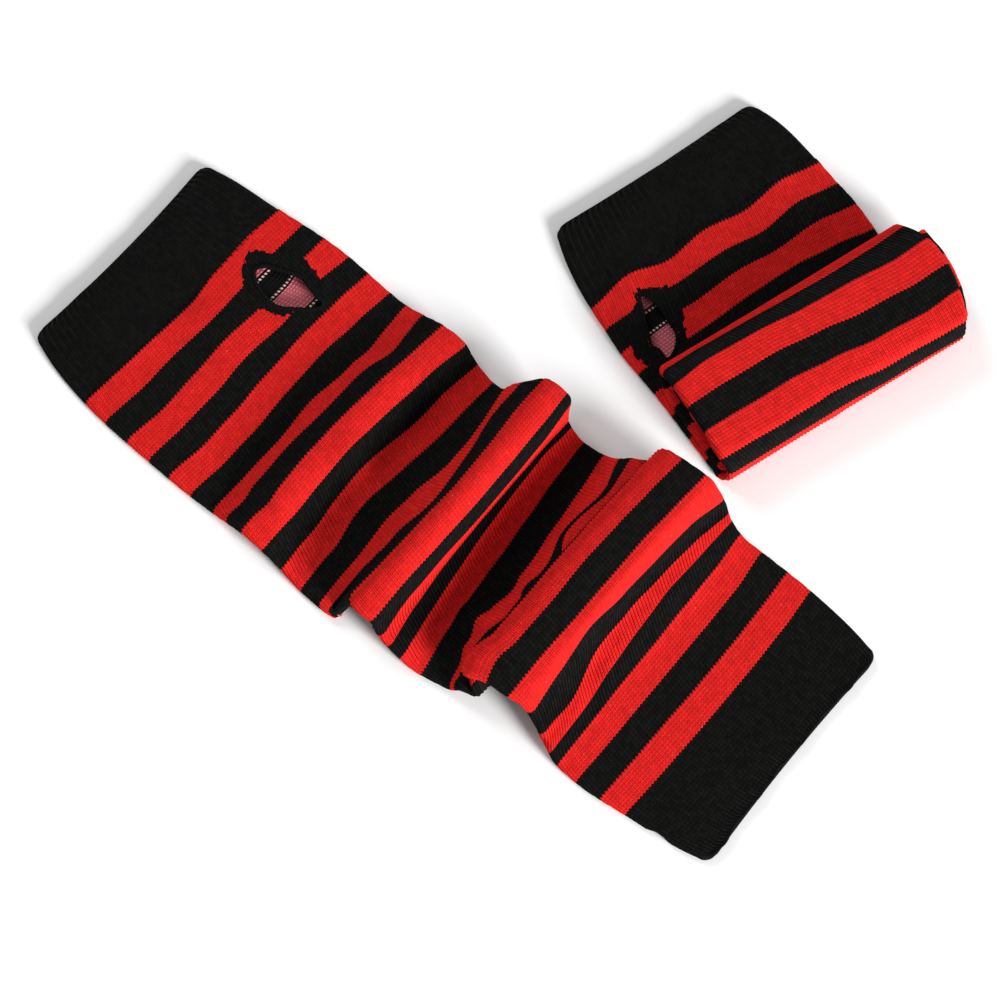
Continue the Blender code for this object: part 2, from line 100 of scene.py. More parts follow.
# A row for each fold. cloth is the distance along the knit; along and height are where the upper layer is
# at its left edge, middle and right edge; left and right are the side edges; under_along and the three
# under heights are the lower layer. A row that ends early is zero in its last columns, as in every table.
COLUMNS = ("cloth", "along_left", "along_mid", "along_right", "height_left", "height_mid", "height_right",
           "left", "right", "under_along", "under_left", "under_mid", "under_right")
LONG_FOLDS = {
    "hand edge":     (0.0, 0.3, 1.7, 0.3, 2.9, 2.9, 2.9, -37.4, 36.0, 0.9),
    "cuff corner":   (0.7, 1.0, 2.4, 1.0, 2.9, 2.9, 2.9, -39.0, 37.6, 1.6),
    "cuff round":    (1.8, 2.1, 3.4, 2.1, 2.9, 2.9, 2.9, -40.1, 38.7, 2.7),
    "cuff side":     (4.0, 4.2, 5.5, 4.3, 3.0, 3.0, 3.0, -41.0, 39.2, 5.0),
    "cuff seam":     (28.0, 27.3, 29.4, 28.6, 3.3, 3.6, 3.4, -46.8, 41.2, 29.4),
    "thumb hole":    (55.2, 56.3, 55.8, 55.3, 3.8, 4.4, 4.2, -49.1, 42.3, 55.8),
    "flat hand":     (73.0, 73.9, 73.4, 73.3, 3.6, 4.3, 4.0, -49.6, 40.9, 73.4),
    "step foot":     (81.4, 81.3, 80.5, 80.2, 3.8, 4.6, 4.2, -49.5, 40.5, 81.2, 0.0, 0.2, 0.0),
    "step middle":   (90.8, 86.0, 87.3, 89.0, 6.0, 9.0, 6.0, -50.0, 40.7, 89.1, 2.6, 5.8, 2.6),
    "step top":      (99.2, 93.2, 93.7, 95.5, 7.5, 12.3, 7.8, -50.2, 40.9, 94.4, 4.1, 8.8, 4.4),
    "step back":     (108.6, 102.6, 102.8, 105.0, 6.8, 11.3, 7.6, -50.4, 40.7, 101.4, 3.5, 8.0, 4.2),
    "dip":           (117.0, 109.6, 108.2, 111.3, 4.6, 5.6, 4.6, -50.6, 39.0, 107.2, 0.9, 2.0, 0.9),
    "first valley":  (126.4, 117.0, 117.0, 118.6, 3.8, 4.5, 4.0, -51.8, 37.3, 117.0),
    "first foot":    (134.8, 128.3, 125.9, 122.6, 4.4, 6.5, 5.5, -52.6, 37.2, 127.6, 0.9, 2.8, 1.9),
    "first front":   (144.2, 130.0, 132.9, 125.5, 4.6, 13.0, 9.0, -50.8, 39.8, 135.0, 1.2, 10.4, 5.8),
    "first rise":    (148.4, 131.2, 134.8, 129.3, 8.6, 16.6, 12.0, -48.4, 42.0, 137.2, 5.5, 14.2, 9.2),
    "first brow":    (152.6, 134.4, 136.4, 133.3, 13.2, 19.6, 15.5, -48.9, 44.0, 138.8, 9.9, 16.4, 12.2),
    "first crest":   (157.5, 139.1, 141.0, 138.5, 14.3, 20.6, 16.4, -49.4, 44.2, 141.2, 10.8, 17.1, 12.9),
    "first back":    (162.0, 144.2, 145.0, 143.3, 13.5, 18.8, 15.5, -49.2, 44.0, 143.2, 10.3, 15.7, 12.3),
    "back step":     (170.4, 146.2, 146.8, 145.2, 9.5, 11.6, 10.5, -49.1, 42.0, 143.6, 7.2, 10.4, 8.5),
    "back crease":   (179.8, 149.8, 146.7, 145.5, 7.0, 7.6, 7.6, -49.7, 41.3, 144.6, 4.0, 4.9, 4.8),
    "back apron":    (188.2, 155.2, 149.4, 146.5, 5.4, 6.2, 6.0, -50.0, 40.4, 148.3, 1.7, 2.6, 2.4),
    "second valley": (197.6, 161.0, 155.4, 153.0, 3.6, 4.2, 4.0, -49.8, 39.2, 155.2),
    "second floor":  (206.0, 167.6, 165.0, 161.6, 3.6, 4.4, 4.4, -48.6, 40.2, 165.4, 0.0, 0.3, 0.3),
    "second front":  (215.4, 171.6, 171.6, 169.2, 4.8, 10.6, 9.0, -47.8, 43.0, 173.8, 1.6, 8.0, 6.4),
    "shelf":         (219.5, 174.4, 175.2, 174.6, 6.6, 12.2, 9.8, -47.2, 45.4, 175.9, 3.3, 8.9, 6.5),
    "shelf end":     (224.8, 177.6, 180.2, 179.8, 7.1, 12.4, 9.8, -46.4, 46.4, 180.3, 3.7, 9.0, 6.4),
    "pocket":        (226.0, 178.4, 181.2, 180.8, 7.2, 12.5, 9.9, -46.2, 46.6, 182.2, 4.2, 9.5, 6.9),
    "pocket end":    (227.2, 178.7, 181.6, 181.2, 7.5, 12.8, 10.2, -46.0, 46.7, 184.6, 7.5, 12.8, 10.2),
    "pocket roof":   (228.4, 178.4, 181.2, 180.8, 7.8, 13.1, 10.5, -45.4, 46.8, 182.2, 10.7, 15.9, 13.3),
    "roof back":     (229.6, 177.8, 180.4, 180.0, 7.8, 13.1, 10.5, -44.8, 46.9, 180.6, 11.1, 16.2, 13.7),
    "under brow":    (235.4, 175.2, 176.0, 176.4, 7.9, 13.2, 10.6, -43.6, 47.4, 178.2, 11.0, 16.1, 13.6),
    "brow foot":     (238.4, 174.4, 174.0, 174.6, 8.6, 13.8, 11.2, -44.0, 47.7, 177.3, 11.0, 16.2, 13.6),
    "second brow":   (241.6, 173.6, 173.4, 174.0, 11.0, 16.0, 13.6, -44.4, 48.0, 176.9, 11.1, 16.3, 13.7),
    "brow top":      (246.0, 176.2, 176.0, 176.4, 13.7, 18.8, 16.3, -44.0, 48.3, 178.0, 11.3, 16.4, 13.8),
    "second crest":  (251.0, 181.2, 181.3, 181.1, 14.8, 20.0, 17.2, -42.8, 48.5, 181.3, 11.4, 16.6, 13.8),
    "crest back":    (259.4, 189.8, 190.0, 189.9, 14.6, 19.4, 17.0, -42.0, 48.9, 189.4, 11.2, 16.0, 13.6),
    "crest edge":    (264.5, 194.4, 193.7, 194.0, 13.6, 18.8, 16.2, -41.3, 48.9, 191.8, 10.5, 15.8, 13.3),
    "second back":   (268.8, 198.4, 196.0, 197.4, 10.6, 15.0, 13.2, -41.2, 48.7, 193.0, 8.1, 13.1, 10.9),
    "dent top":      (277.2, 204.5, 198.2, 200.4, 7.0, 9.6, 8.5, -43.2, 48.4, 195.9, 3.8, 6.8, 5.6),
    "dent":          (286.6, 208.0, 204.7, 203.9, 5.6, 7.6, 6.4, -45.0, 46.2, 203.5, 2.1, 4.1, 2.9),
    "third foot":    (295.0, 211.2, 210.0, 209.6, 4.2, 4.6, 4.4, -46.0, 45.0, 209.6),
    "flat arm":      (304.4, 219.4, 219.0, 218.0, 3.6, 3.7, 3.7, -46.5, 44.9, 219.0),
    "hem seam":      (322.2, 235.6, 236.3, 235.4, 3.2, 3.3, 3.2, -45.1, 44.3, 236.3),
    "hem side":      (344.2, 259.2, 257.9, 258.4, 3.0, 3.0, 3.0, -41.9, 41.0, 257.9),
    "hem round":     (346.4, 261.5, 260.0, 260.7, 2.9, 2.9, 2.9, -41.2, 40.4, 260.0),
    "hem corner":    (347.5, 262.6, 261.1, 261.8, 2.9, 2.9, 2.9, -40.0, 39.2, 261.1),
    "hem edge":      (348.2, 263.3, 261.8, 262.5, 2.9, 2.9, 2.9, -38.6, 37.8, 261.8),
}

# How much further along the cloth than its place in the folds each border of a stripe lies, at seven wales
# across the top
PULL_WALES = (-36.0, -24.0, -12.0, 0.0, 12.0, 24.0, 36.0)
LONG_PULLS = {
    "red 1":      (28.0, 0.5, 0.4, 0.7, 1.1, -0.6, -0.9, 0.9),
    "black 1":    (37.4, -0.2, 0.3, 0.0, 0.9, 0.6, 0.3, 1.0),
    "red 2":      (45.8, -0.6, 0.6, 0.2, -0.2, 0.8, 0.0, 0.4),
    "black 2":    (55.2, -1.1, -0.3, 0.2, -0.4, 1.0, -0.3, 1.5),
    "red 3":      (63.6, -0.9, 0.6, 0.8, 0.2, -0.2, 0.5, 1.5),
    "black 3":    (73.0, -1.0, 0.3, 0.7, -0.2, -0.5, 0.8, 2.2),
    "red 4":      (81.4, -0.3, 0.5, 1.3, -0.3, 2.2, 2.3, 1.4),
    "black 4":    (90.8, 1.0, 0.2, -1.0, -0.3, -1.0, 1.3, -1.2),
    "red 5":      (99.2, 0.5, 1.0, 0.4, 0.4, 0.7, 1.1, 0.8),
    "black 5":    (108.6, 0.1, 0.6, 0.3, 0.2, 0.5, 0.6, 1.3),
    "red 6":      (117.0, 1.4, 1.3, 0.4, 0.5, 1.9, 1.3, 1.5),
    "black 6":    (126.4, 0.8, 0.3, -1.7, -0.9, -0.2, 0.0, 0.2),
    "red 7":      (134.8, -2.2, -2.2, -2.2, -1.2, 3.0, 4.5, 3.2),
    "black 7":    (144.2, -8.2, -8.2, -5.8, -0.3, -1.1, -2.0, 2.0),
    "red 8":      (152.6, -0.7, -0.6, 0.0, 1.1, 0.7, -0.2, 0.6),
    "black 8":    (162.0, -0.9, -1.0, -0.5, -0.2, -0.5, -1.0, -1.4),
    "red 9":      (170.4, 5.2, 0.7, -0.5, 0.2, -0.4, -1.2, -5.0),
    "black 9":    (179.8, 2.6, 1.0, -0.3, 0.2, 1.5, 2.8, 6.5),
    "red 10":     (188.2, 1.6, 1.4, 1.2, 0.6, 0.4, 0.3, 2.2),
    "black 10":   (197.6, 1.5, 1.2, 1.2, 1.2, 0.8, 0.0, -0.6),
    "red 11":     (206.0, 9.5, 0.4, -0.2, 0.8, -0.1, -0.8, -1.6),
    "black 11":   (215.4, 1.6, -4.0, -0.2, -0.4, -5.4, -1.2, -4.9),
    "red 12":     (223.8, 6.6, 0.0, 0.0, -4.8, -11.5, -8.0, -8.8),
    "black 12":   (233.2, 4.2, 0.0, 0.0, -13.5, -17.7, -14.6, -17.0),
    "red 13":     (241.6, -0.4, 1.0, 2.0, 1.8, 1.5, 1.5, -3.0),
    "black 13":   (251.0, 0.8, 0.1, 0.4, -0.1, 0.3, 0.7, 1.3),
    "red 14":     (259.4, 0.3, 0.3, 0.7, 0.8, 0.6, 1.2, 1.6),
    "black 14":   (268.8, -0.2, -0.8, -2.0, 0.2, 1.3, 1.6, 4.4),
    "red 15":     (277.2, -1.6, 2.7, -0.4, 0.9, 2.2, 2.7, 4.6),
    "black 15":   (286.6, 0.6, 1.6, 0.2, -0.6, -1.4, -0.4, -0.2),
    "red 16":     (295.0, 0.8, 0.7, 0.5, 0.4, 0.0, -0.4, -1.8),
    "black 16":   (304.4, -0.4, -0.2, -0.2, -0.3, -0.3, -0.3, -1.6),
    "red 17":     (312.8, 0.2, 0.1, 0.1, 0.2, 0.1, 0.0, -0.4),
    "hem seam":   (322.2, 0.0, 0.1, 0.2, 0.1, 0.0, -0.1, -0.8),
}

# Soft ridges and troughs that follow a line in the cloth: its two ends, how far it reaches to each side,
# how far it lifts the cloth, slides it along and spreads it to the right, and how far it pulls the stripes
CREASES = ("cloth_a", "wale_a", "cloth_b", "wale_b", "width", "lift", "slide", "spread", "pull")
LONG_CREASES = {
    "valley ridge":         (112.0, -5.0, 131.0, -7.0, 11.0, 1.6),
    "valley left trough":   (112.0, -23.0, 131.0, -21.0, 9.0, -0.9),
    "valley right trough":  (113.0, 17.0, 134.0, 17.0, 11.0, -1.1),
    "eleventh red's bulge": (206.0, -18.0, 213.0, -17.0, 7.0, 1.6),
    "bulge's top":          (203.0, -18.0, 206.0, -18.0, 6.0, 0.0, 0.0, 0.0, -1.8),
    "bulge's foot":         (215.0, -17.0, 217.0, -17.0, 6.0, 0.0, 0.0, 0.0, 1.8),
    "eleventh black's peak": (213.0, -6.0, 215.0, -6.0, 5.0, -0.5, 0.0, 0.0, -2.6),
    "beside the bulge":     (206.0, -8.0, 208.0, -7.0, 6.0, -0.6, 0.0, 0.0, 1.4),
    "second fold's left":   (236.0, -31.0, 248.0, -31.0, 9.0, 0.0, -2.0),
    "tenth black's end":    (208.0, -30.0, 210.0, -31.0, 5.0, 0.0, 0.0, 0.0, 2.0),
    "inside, first black":  (37.9, 53.0, 37.9, 56.0, 6.0, 0.0, 0.0, 0.0, -0.9),
    "inside, second red":   (46.0, 53.0, 46.0, 56.0, 6.0, 0.0, 0.0, 0.0, 0.9),
    "step's left dent":     (92.0, -30.0, 98.0, -27.0, 6.0, -0.6, 0.0, 0.0, 0.8),
    "step's right dent":    (84.0, 20.0, 92.0, 22.0, 7.0, -0.8, 0.0, 0.0, 0.6),
    "hand's middle":        (34.0, -1.0, 76.0, -8.0, 9.0, 0.5),
    "hand's left trough":   (34.0, -22.0, 78.0, -24.0, 9.0, -0.4),
    "cuff's trough":        (6.0, 6.0, 26.0, 2.0, 10.0, -0.4),
    "cuff's ridge":         (4.0, -20.0, 26.0, -14.0, 9.0, 0.4),
    "dent":                 (281.0, -16.0, 288.0, -20.0, 7.0, -0.5),
    "first fold's left":    (141.0, -38.5, 150.0, -38.5, 6.5, 0.0, 0.0, 0.0, 4.6),
    "arm's trough":         (300.0, 14.0, 330.0, 10.0, 12.0, -0.5),
    "arm's ridge":          (298.0, -12.0, 334.0, -15.0, 12.0, 0.5),
    "hem scallop 1":        (348.2, -31.0, 346.0, -31.0, 4.5, 0.0, 0.5),
    "hem scallop 2":        (348.2, -24.0, 346.0, -24.0, 3.5, 0.0, -0.4),
    "hem scallop 3":        (348.2, -15.0, 346.0, -15.0, 5.0, 0.3, 0.4),
    "hem scallop 4":        (348.2, -5.0, 346.0, -5.0, 4.0, 0.0, -0.4),
    "hem scallop 5":        (348.2, 5.0, 346.0, 5.0, 4.5, 0.3, 0.4),
    "hem scallop 6":        (348.2, 15.0, 346.0, 15.0, 4.0, 0.0, -0.3),
    "hem scallop 7":        (348.2, 26.0, 346.0, 26.0, 5.0, 0.2, 0.5),
    "hem's nick":           (332.0, -37.0, 333.5, -37.0, 3.0, 0.0, 0.0, 0.9),
}

# The hand part of the folded warmer, up to where its cloth turns up at the roll's front.
TURN_START = 88.7
FOLDED_HAND = {
    "hand edge":   (0.0, -0.3, -0.9, -3.0, 2.9, 2.9, 2.9, -36.4, 36.0, -0.9),
    "cuff corner": (0.7, 0.4, -0.2, -2.3, 2.9, 2.9, 2.9, -38.0, 37.8, -0.2),
    "cuff round":  (1.8, 1.5, 0.9, -1.2, 2.9, 2.9, 2.9, -39.1, 39.0, 0.9),
    "cuff side":   (4.0, 3.6, 3.0, 0.9, 3.0, 3.0, 3.0, -39.9, 39.9, 3.0),
    "cuff seam":   (28.0, 27.0, 25.4, 24.6, 3.3, 3.6, 3.4, -44.9, 43.6, 25.4),
    "first red":   (37.4, 38.0, 35.2, 34.2, 3.9, 4.3, 3.8, -45.8, 43.8, 35.2),
    "first black": (45.8, 46.4, 42.8, 41.8, 4.2, 4.4, 4.0, -46.4, 44.3, 42.8),
    "second red":  (55.2, 55.4, 51.4, 50.4, 3.6, 3.7, 3.6, -46.0, 44.2, 51.4),
    "under roll":  (63.6, 63.2, 60.0, 59.6, 3.0, 3.0, 3.0, -45.6, 43.6, 60.0),
    "third black": (81.4, 81.2, 79.6, 79.4, 2.9, 2.9, 2.9, -45.6, 43.6, 79.6),
    "turn start":  (88.7, 88.2, 88.2, 88.2, 2.9, 2.9, 2.9, -45.6, 43.6, 88.2),
}

# The rest of it, rolled up: the first columns are the layer on the outside of the roll, the under ones the
# layer on its inside. It turns up at the front, goes back over the top, down, and on round inside.
ROLL_END = 243.0
FOLDED_ROLL = {
    "turn start":  (88.7, 88.2, 88.2, 88.2, 0.0, 0.0, 0.0, -45.6, 43.6, 88.2, 2.9, 2.9, 2.9),
    "floor":       (96.2, 94.3, 94.2, 94.8, 0.0, 0.0, 0.0, -45.7, 43.9, 93.9, 3.0, 3.0, 3.0),
    "front floor": (99.2, 96.8, 96.6, 97.4, 0.1, 0.1, 0.1, -45.8, 44.0, 96.2, 3.0, 3.0, 3.0),
    "front foot":  (102.4, 99.3, 99.7, 100.2, 1.7, 1.7, 1.7, -45.0, 43.6, 97.6, 3.9, 3.9, 3.9),
    "front low":   (105.4, 100.5, 101.0, 101.8, 4.6, 4.6, 4.6, -44.6, 43.0, 98.6, 5.6, 5.6, 5.6),
    "front bulge": (108.6, 100.5, 101.0, 102.2, 7.7, 7.7, 7.7, -44.4, 42.8, 98.6, 7.6, 7.6, 7.6),
    "front high":  (111.6, 100.2, 100.7, 102.2, 10.5, 10.6, 10.4, -44.6, 43.0, 98.3, 9.2, 9.2, 9.2),
    "front brow":  (114.4, 99.1, 99.8, 101.6, 13.0, 13.1, 12.9, -45.0, 43.0, 97.6, 10.6, 10.6, 10.6),
    "fourth red":  (117.0, 96.9, 97.9, 100.2, 14.7, 15.0, 14.6, -45.6, 44.2, 95.9, 11.5, 11.6, 11.5),
    "top front":   (121.6, 92.2, 93.2, 95.6, 15.3, 15.7, 15.2, -45.4, 46.2, 92.6, 11.9, 12.0, 11.9),
    "fifth black": (126.4, 87.6, 88.6, 90.9, 15.4, 15.9, 15.3, -44.8, 48.0, 88.4, 12.0, 12.1, 12.0),
    "sixth red":   (134.8, 77.5, 78.5, 82.1, 15.4, 15.9, 15.3, -44.0, 50.4, 78.6, 12.0, 12.1, 12.0),
    "sixth black": (144.2, 68.1, 69.3, 71.8, 15.3, 15.8, 15.2, -43.6, 50.8, 69.8, 11.9, 12.0, 11.9),
    "back red":    (152.6, 62.4, 63.9, 63.8, 14.8, 15.3, 14.7, -43.6, 47.6, 65.6, 11.5, 11.6, 11.5),
    "back brow":   (155.8, 60.8, 61.8, 61.6, 13.2, 13.8, 13.0, -43.0, 47.0, 64.2, 10.6, 10.8, 10.6),
    "back top":    (159.0, 60.2, 60.7, 60.6, 11.0, 11.4, 11.0, -42.8, 47.2, 63.6, 9.6, 9.8, 9.6),
    "back middle": (162.6, 60.2, 60.4, 60.4, 8.4, 8.4, 8.4, -42.6, 46.0, 63.5, 8.2, 8.2, 8.2),
    "back low":    (166.0, 60.8, 60.9, 61.0, 5.6, 5.6, 5.6, -42.8, 46.4, 64.0, 6.9, 6.9, 6.9),
    "back foot":   (169.2, 62.6, 62.7, 62.9, 3.8, 3.8, 3.8, -43.2, 47.2, 65.2, 6.3, 6.3, 6.3),
    "inner floor": (174.0, 66.8, 67.0, 67.2, 3.2, 3.2, 3.2, -44.0, 48.4, 67.6, 6.1, 6.1, 6.1),
    "inner way":   (195.0, 86.0, 86.0, 86.0, 3.2, 3.2, 3.2, -45.0, 47.0, 86.0, 6.2, 6.2, 6.2),
    "inner front": (204.5, 94.2, 94.4, 94.6, 3.5, 3.5, 3.5, -45.2, 46.6, 93.8, 6.4, 6.4, 6.4),
    "inner turn":  (208.6, 97.4, 97.6, 97.8, 5.3, 5.3, 5.3, -44.8, 46.8, 95.2, 6.8, 6.8, 6.8),
    "inner bulge": (212.2, 97.6, 97.8, 98.0, 8.2, 8.2, 8.2, -44.2, 47.2, 95.2, 7.4, 7.4, 7.4),
    "inner brow":  (215.4, 95.8, 96.0, 96.2, 10.3, 10.3, 10.3, -43.8, 47.8, 93.8, 7.7, 7.7, 7.7),
    "inner black": (223.8, 88.2, 88.3, 88.4, 11.0, 11.0, 11.0, -43.4, 51.0, 88.0, 7.7, 7.7, 7.7),
    "inner red":   (233.2, 77.6, 77.6, 77.6, 11.0, 11.0, 11.0, -43.0, 53.4, 77.6, 7.6, 7.6, 7.6),
    "inner end":   (243.0, 66.6, 66.6, 66.6, 10.8, 10.8, 10.8, -42.6, 53.4, 66.6, 7.4, 7.4, 7.4),
}

FOLDED_PULLS = {
    "red 1":      (28.0, 2.0, -0.2, 2.7, 1.2, 2.6, 1.0, 2.2),
    "black 1":    (37.4, -0.1, 0.3, 1.0, 1.2, 2.6, 0.9, 2.3),
    "red 2":      (45.8, 0.3, 0.5, 1.1, 1.1, 2.3, 1.9, 3.4),
    "black 2":    (55.2, -0.2, 0.6, 1.0, 1.0, 0.9, 2.4, 4.3),
    "red 3":      (63.6, 0.5, 1.0, 1.0, 1.0, 1.0, 1.5, 2.0),
    "black 3":    (73.0, 0.0, 0.5, 0.5, 0.5, 0.5, 0.5, 1.0),
    "red 4":      (81.4,),
    "black 4":    (90.8,),
    "red 5":      (99.2,),
    "black 5":    (108.6, 0.6, 0.6, 0.6, 0.8, -0.6, 0.0, -0.6),
    "red 6":      (117.0, 0.3, 0.5, 0.3, 0.5, -0.9, -0.8, -0.3),
    "black 6":    (126.4, 0.2, 0.4, 0.4, -0.5, -2.0, -2.3, -0.6),
    "red 7":      (134.8, 0.1, 0.6, 0.5, -0.5, -1.7, -1.4, 0.0),
    "black 7":    (144.2, -0.9, 1.3, 0.5, -0.8, -0.8, -1.1, 0.4),
    "red 8":      (152.6, -0.8, 0.7, 0.4, -0.2, -0.8, -0.4, 0.4),
    "black 8":    (162.0,),
    "roll's end": (243.0,),
}
FOLDED_CREASES = {
    "above the hole":       (27.0, -24.0, 31.0, -24.0, 8.0, 0.7),
    "hand's left trough":   (28.0, -13.0, 50.0, -12.0, 8.0, -0.6),
    "hand's middle":        (26.0, -1.0, 52.0, -2.0, 8.0, 0.6),
    "hand's right trough":  (26.0, 11.0, 52.0, 12.0, 9.0, -0.7),
    "hand's right ridge":   (26.0, 24.0, 48.0, 23.0, 9.0, 0.6),
    "cuff's trough":        (5.0, 2.0, 24.0, 0.0, 10.0, -0.4),
    "cuff's right ridge":   (5.0, 24.0, 24.0, 25.0, 9.0, 0.5),
    "roll's front bump":    (108.0, -4.0, 114.0, -4.0, 6.0, 0.0, 0.4, 0.0, 1.0),
    "roll's top ridge":     (118.0, 20.0, 142.0, 14.0, 11.0, 0.5),
    "roll's top trough":    (118.0, -20.0, 146.0, -22.0, 11.0, -0.7),
    "roll's left ridge":    (114.0, -34.0, 140.0, -35.0, 6.0, 0.4),
}

# Thumb holes: the opening's outline, then the outline of the black knit round it, along and across
LONG_OPENING = (
    (38.1, 20.5), (39.7, 18.0), (42.5, 16.4), (46.4, 15.2), (50.3, 14.6), (53.2, 15.5), (56.6, 18.0),
    (59.5, 20.1), (61.6, 22.6), (61.2, 24.1), (58.3, 24.6), (54.6, 25.5), (51.2, 26.5), (47.9, 25.8),
    (44.0, 24.4), (40.1, 23.0),
)
LONG_SURROUND = (
    (38.4, 13.9), (34.7, 17.6), (33.4, 20.1), (32.0, 23.6), (33.4, 25.2), (37.0, 27.0), (39.6, 29.0),
    (41.0, 34.5), (46.0, 32.9), (54.4, 30.7), (56.1, 30.5), (57.5, 22.0), (56.1, 13.7), (52.8, 11.9),
    (48.6, 11.1), (46.9, 9.3), (42.0, 9.8),
)
FOLDED_OPENING = (
    (32.4, -29.5), (36.6, -27.8), (41.3, -27.4), (46.5, -27.7), (51.2, -28.1), (55.4, -31.6),
    (57.1, -36.3), (52.6, -36.9), (49.9, -38.0), (44.3, -35.9), (38.8, -33.6), (34.6, -31.8),
)
FOLDED_SURROUND = (
    (36.1, -21.1), (35.3, -24.6), (33.3, -27.5), (31.8, -30.3), (31.9, -31.3), (36.3, -34.2),
    (37.2, -35.3), (37.6, -39.3), (44.0, -41.0), (50.0, -44.2), (54.4, -42.3), (59.0, -40.0),
    (59.0, -30.0), (53.0, -26.4), (49.6, -24.9), (45.9, -22.7), (42.8, -22.1),
)
OPENING_POINTS = 96       # points round the hole
CUTTER_FOOT = 2.0         # heights between which the hole is cut
CUTTER_TOP = 14.0
SURROUND_REACH = 4.0      # how far round the black knit a distance to it is worked out
EDGE_POINTS = 2000        # points of the line that the bead follows
EDGE_RADIUS = 0.75        # of the overcast bead round a thumb hole
EDGE_OUT = 0.45           # how far its middle lies out from the opening
EDGE_STITCH = 1.25        # distance between two stitches of the bead
EDGE_SINK = 0.35          # how far the bead's middle lies under the cloth's surface
EDGE_SLANT = 1.0          # stitches that one stitch passes on its way round the bead
EDGE_GROOVE = 0.22        # share of its radius that the bead loses between two stitches
RINGS_PER_STITCH = 6
RING_POINTS = 12
STRANDS = 3.0             # strands of thread in one stitch

# Meshes
LAYER_STEPS = np.linspace(0.0, 1.0, 121)[None, :]       # places along half a layer, for its length
SIDE_STEPS = np.linspace(0.0, 1.0, 33)[None, 1:-1]      # places round a side fold
LEAST_THICKNESS = 2.0     # of the two layers at a side fold
DENSE_LINES = 600         # lines over which the lines of points are spaced
SAME_PLACE = 1e-7         # metres within which two points are joined
COLUMN_STEP = 1 / 2       # wales between two columns of points
STATION_WALES = (-40.0, 0.0, 40.0)      # where the lines are spaced by
OUTER_STEP, OUTER_TURN = 1.5, 0.34      # cloth between two lines of points, and the most that it turns
INNER_STEP, INNER_TURN = 6.0, 0.9       # the same on the inside
RIM_ANGLES = (30, 60, 90, 120, 150, 180)
SHARP_ANGLE = 55.0
START_END, FAR_END = 1, 2

# Yarn
COURSE = 1.15             # height of a row of stitches
STITCH_SLANT = 1.0        # courses that a stitch's leg rises over half a wale
LEG_END_HEIGHT = 0.45     # height of a leg's ends, as a share of its middle's
GROOVE_START = 0.30       # wales from a wale's middle to where its groove starts
WALE_WIDTH = 1.28         # where the knit lies flat
FAR_OFF = 1000.0          # distance to the black knit round a thumb hole where there is none
RAGGED = 0.4              # how far the edge of the black knit round a thumb hole strays
MOTTLE_NOISE = {"Scale": 0.35, "Detail": 3.0, "Roughness": 0.6}
FUZZ_NOISE = {"Scale": 4.5, "Detail": 2.0, "Roughness": 0.7}
NOISE_RANGE = (0.3, 0.7)  # that most of a noise lies in
FUZZ_RELIEF = 0.35        # relief of the fuzz, as a share of the stitches'
FLECK_SCALE = 1.1         # places for a fleck in a millimetre
FLECK_RARITY = 0.97       # share of them that have none
FLECK_EDGE = (0.26, 0.10)      # from the outside of a fleck to its middle
FLECK_TINT = 0.22         # how much of its own colour it has
DOT_EDGE = (0.48, 0.12)        # from the outside of a float on the inside to its middle
DOT_ROW = 1.0             # how far a row of light dots lies from a stripe on the inside
DOT_ROW_EDGE = (0.50, 0.20)    # from the outside of that row to its middle
DOT_SIDE = (0.38, 0.12)        # from the side of a dot to its middle, in wales
REVERSE_SHIFT = -1.0      # how much further along the stripes are on the inside

# Tones of the colours: dark, light and, where a third is given, in the grooves. On the red and black knit
# the light tone is partly a painted highlight on the raised middle of each stitch's leg, and the groove
# tone is painted shade in the grooves between wales.
RED_TONES = (0.80, 1.22, 0.66)
BLACK_TONES = (0.35, 1.95, 0.25)
FLOAT_TONES = (0.55, 1.6)
THREAD_TONES = (0.7, 1.3)
WORN = (0.90, 1.08)       # slow unevenness of the whole knit
YARN_SPECULAR = 0.06
KNIT_ROUGHNESS = (0.82, 0.97)
REVERSE_ROUGHNESS = (0.8, 0.95)
THREAD_ROUGHNESS = (0.7, 0.9)

# Stage, in metres
CAMERA_TARGET = Vector((-0.0011, -0.0102, 0.0))
CAMERA_ELEVATION = math.radians(66.0)
CAMERA_DISTANCE = 1.0
CAMERA_LENS = 120.0       # millimetres, as is the sensor's width
SENSOR_WIDTH = 36.0
FLOOR_HALF = 3.0
KEY_PLACE, KEY_SIZE = (1.92, -2.06, 1.03), 0.95
FILL_PLACE, FILL_SIZE = (-1.52, 1.81, 1.85), 1.5

YARNS = {}


# ---------------------------------------------------------------- folds

def filled(table, width):
    """The rows of a table, where one that ends early is zero in its last columns."""
    return np.array([row + (0.0,) * (width - len(row)) for row in table.values()])


def from_segment(offset, side):
    """Distance from points to a segment, for their offsets from its start and the way to its end."""
    share = np.clip((offset * side).sum(axis=-1) / (side * side).sum(axis=-1), 0, 1)
    return np.linalg.norm(offset - side * share[..., None], axis=-1)


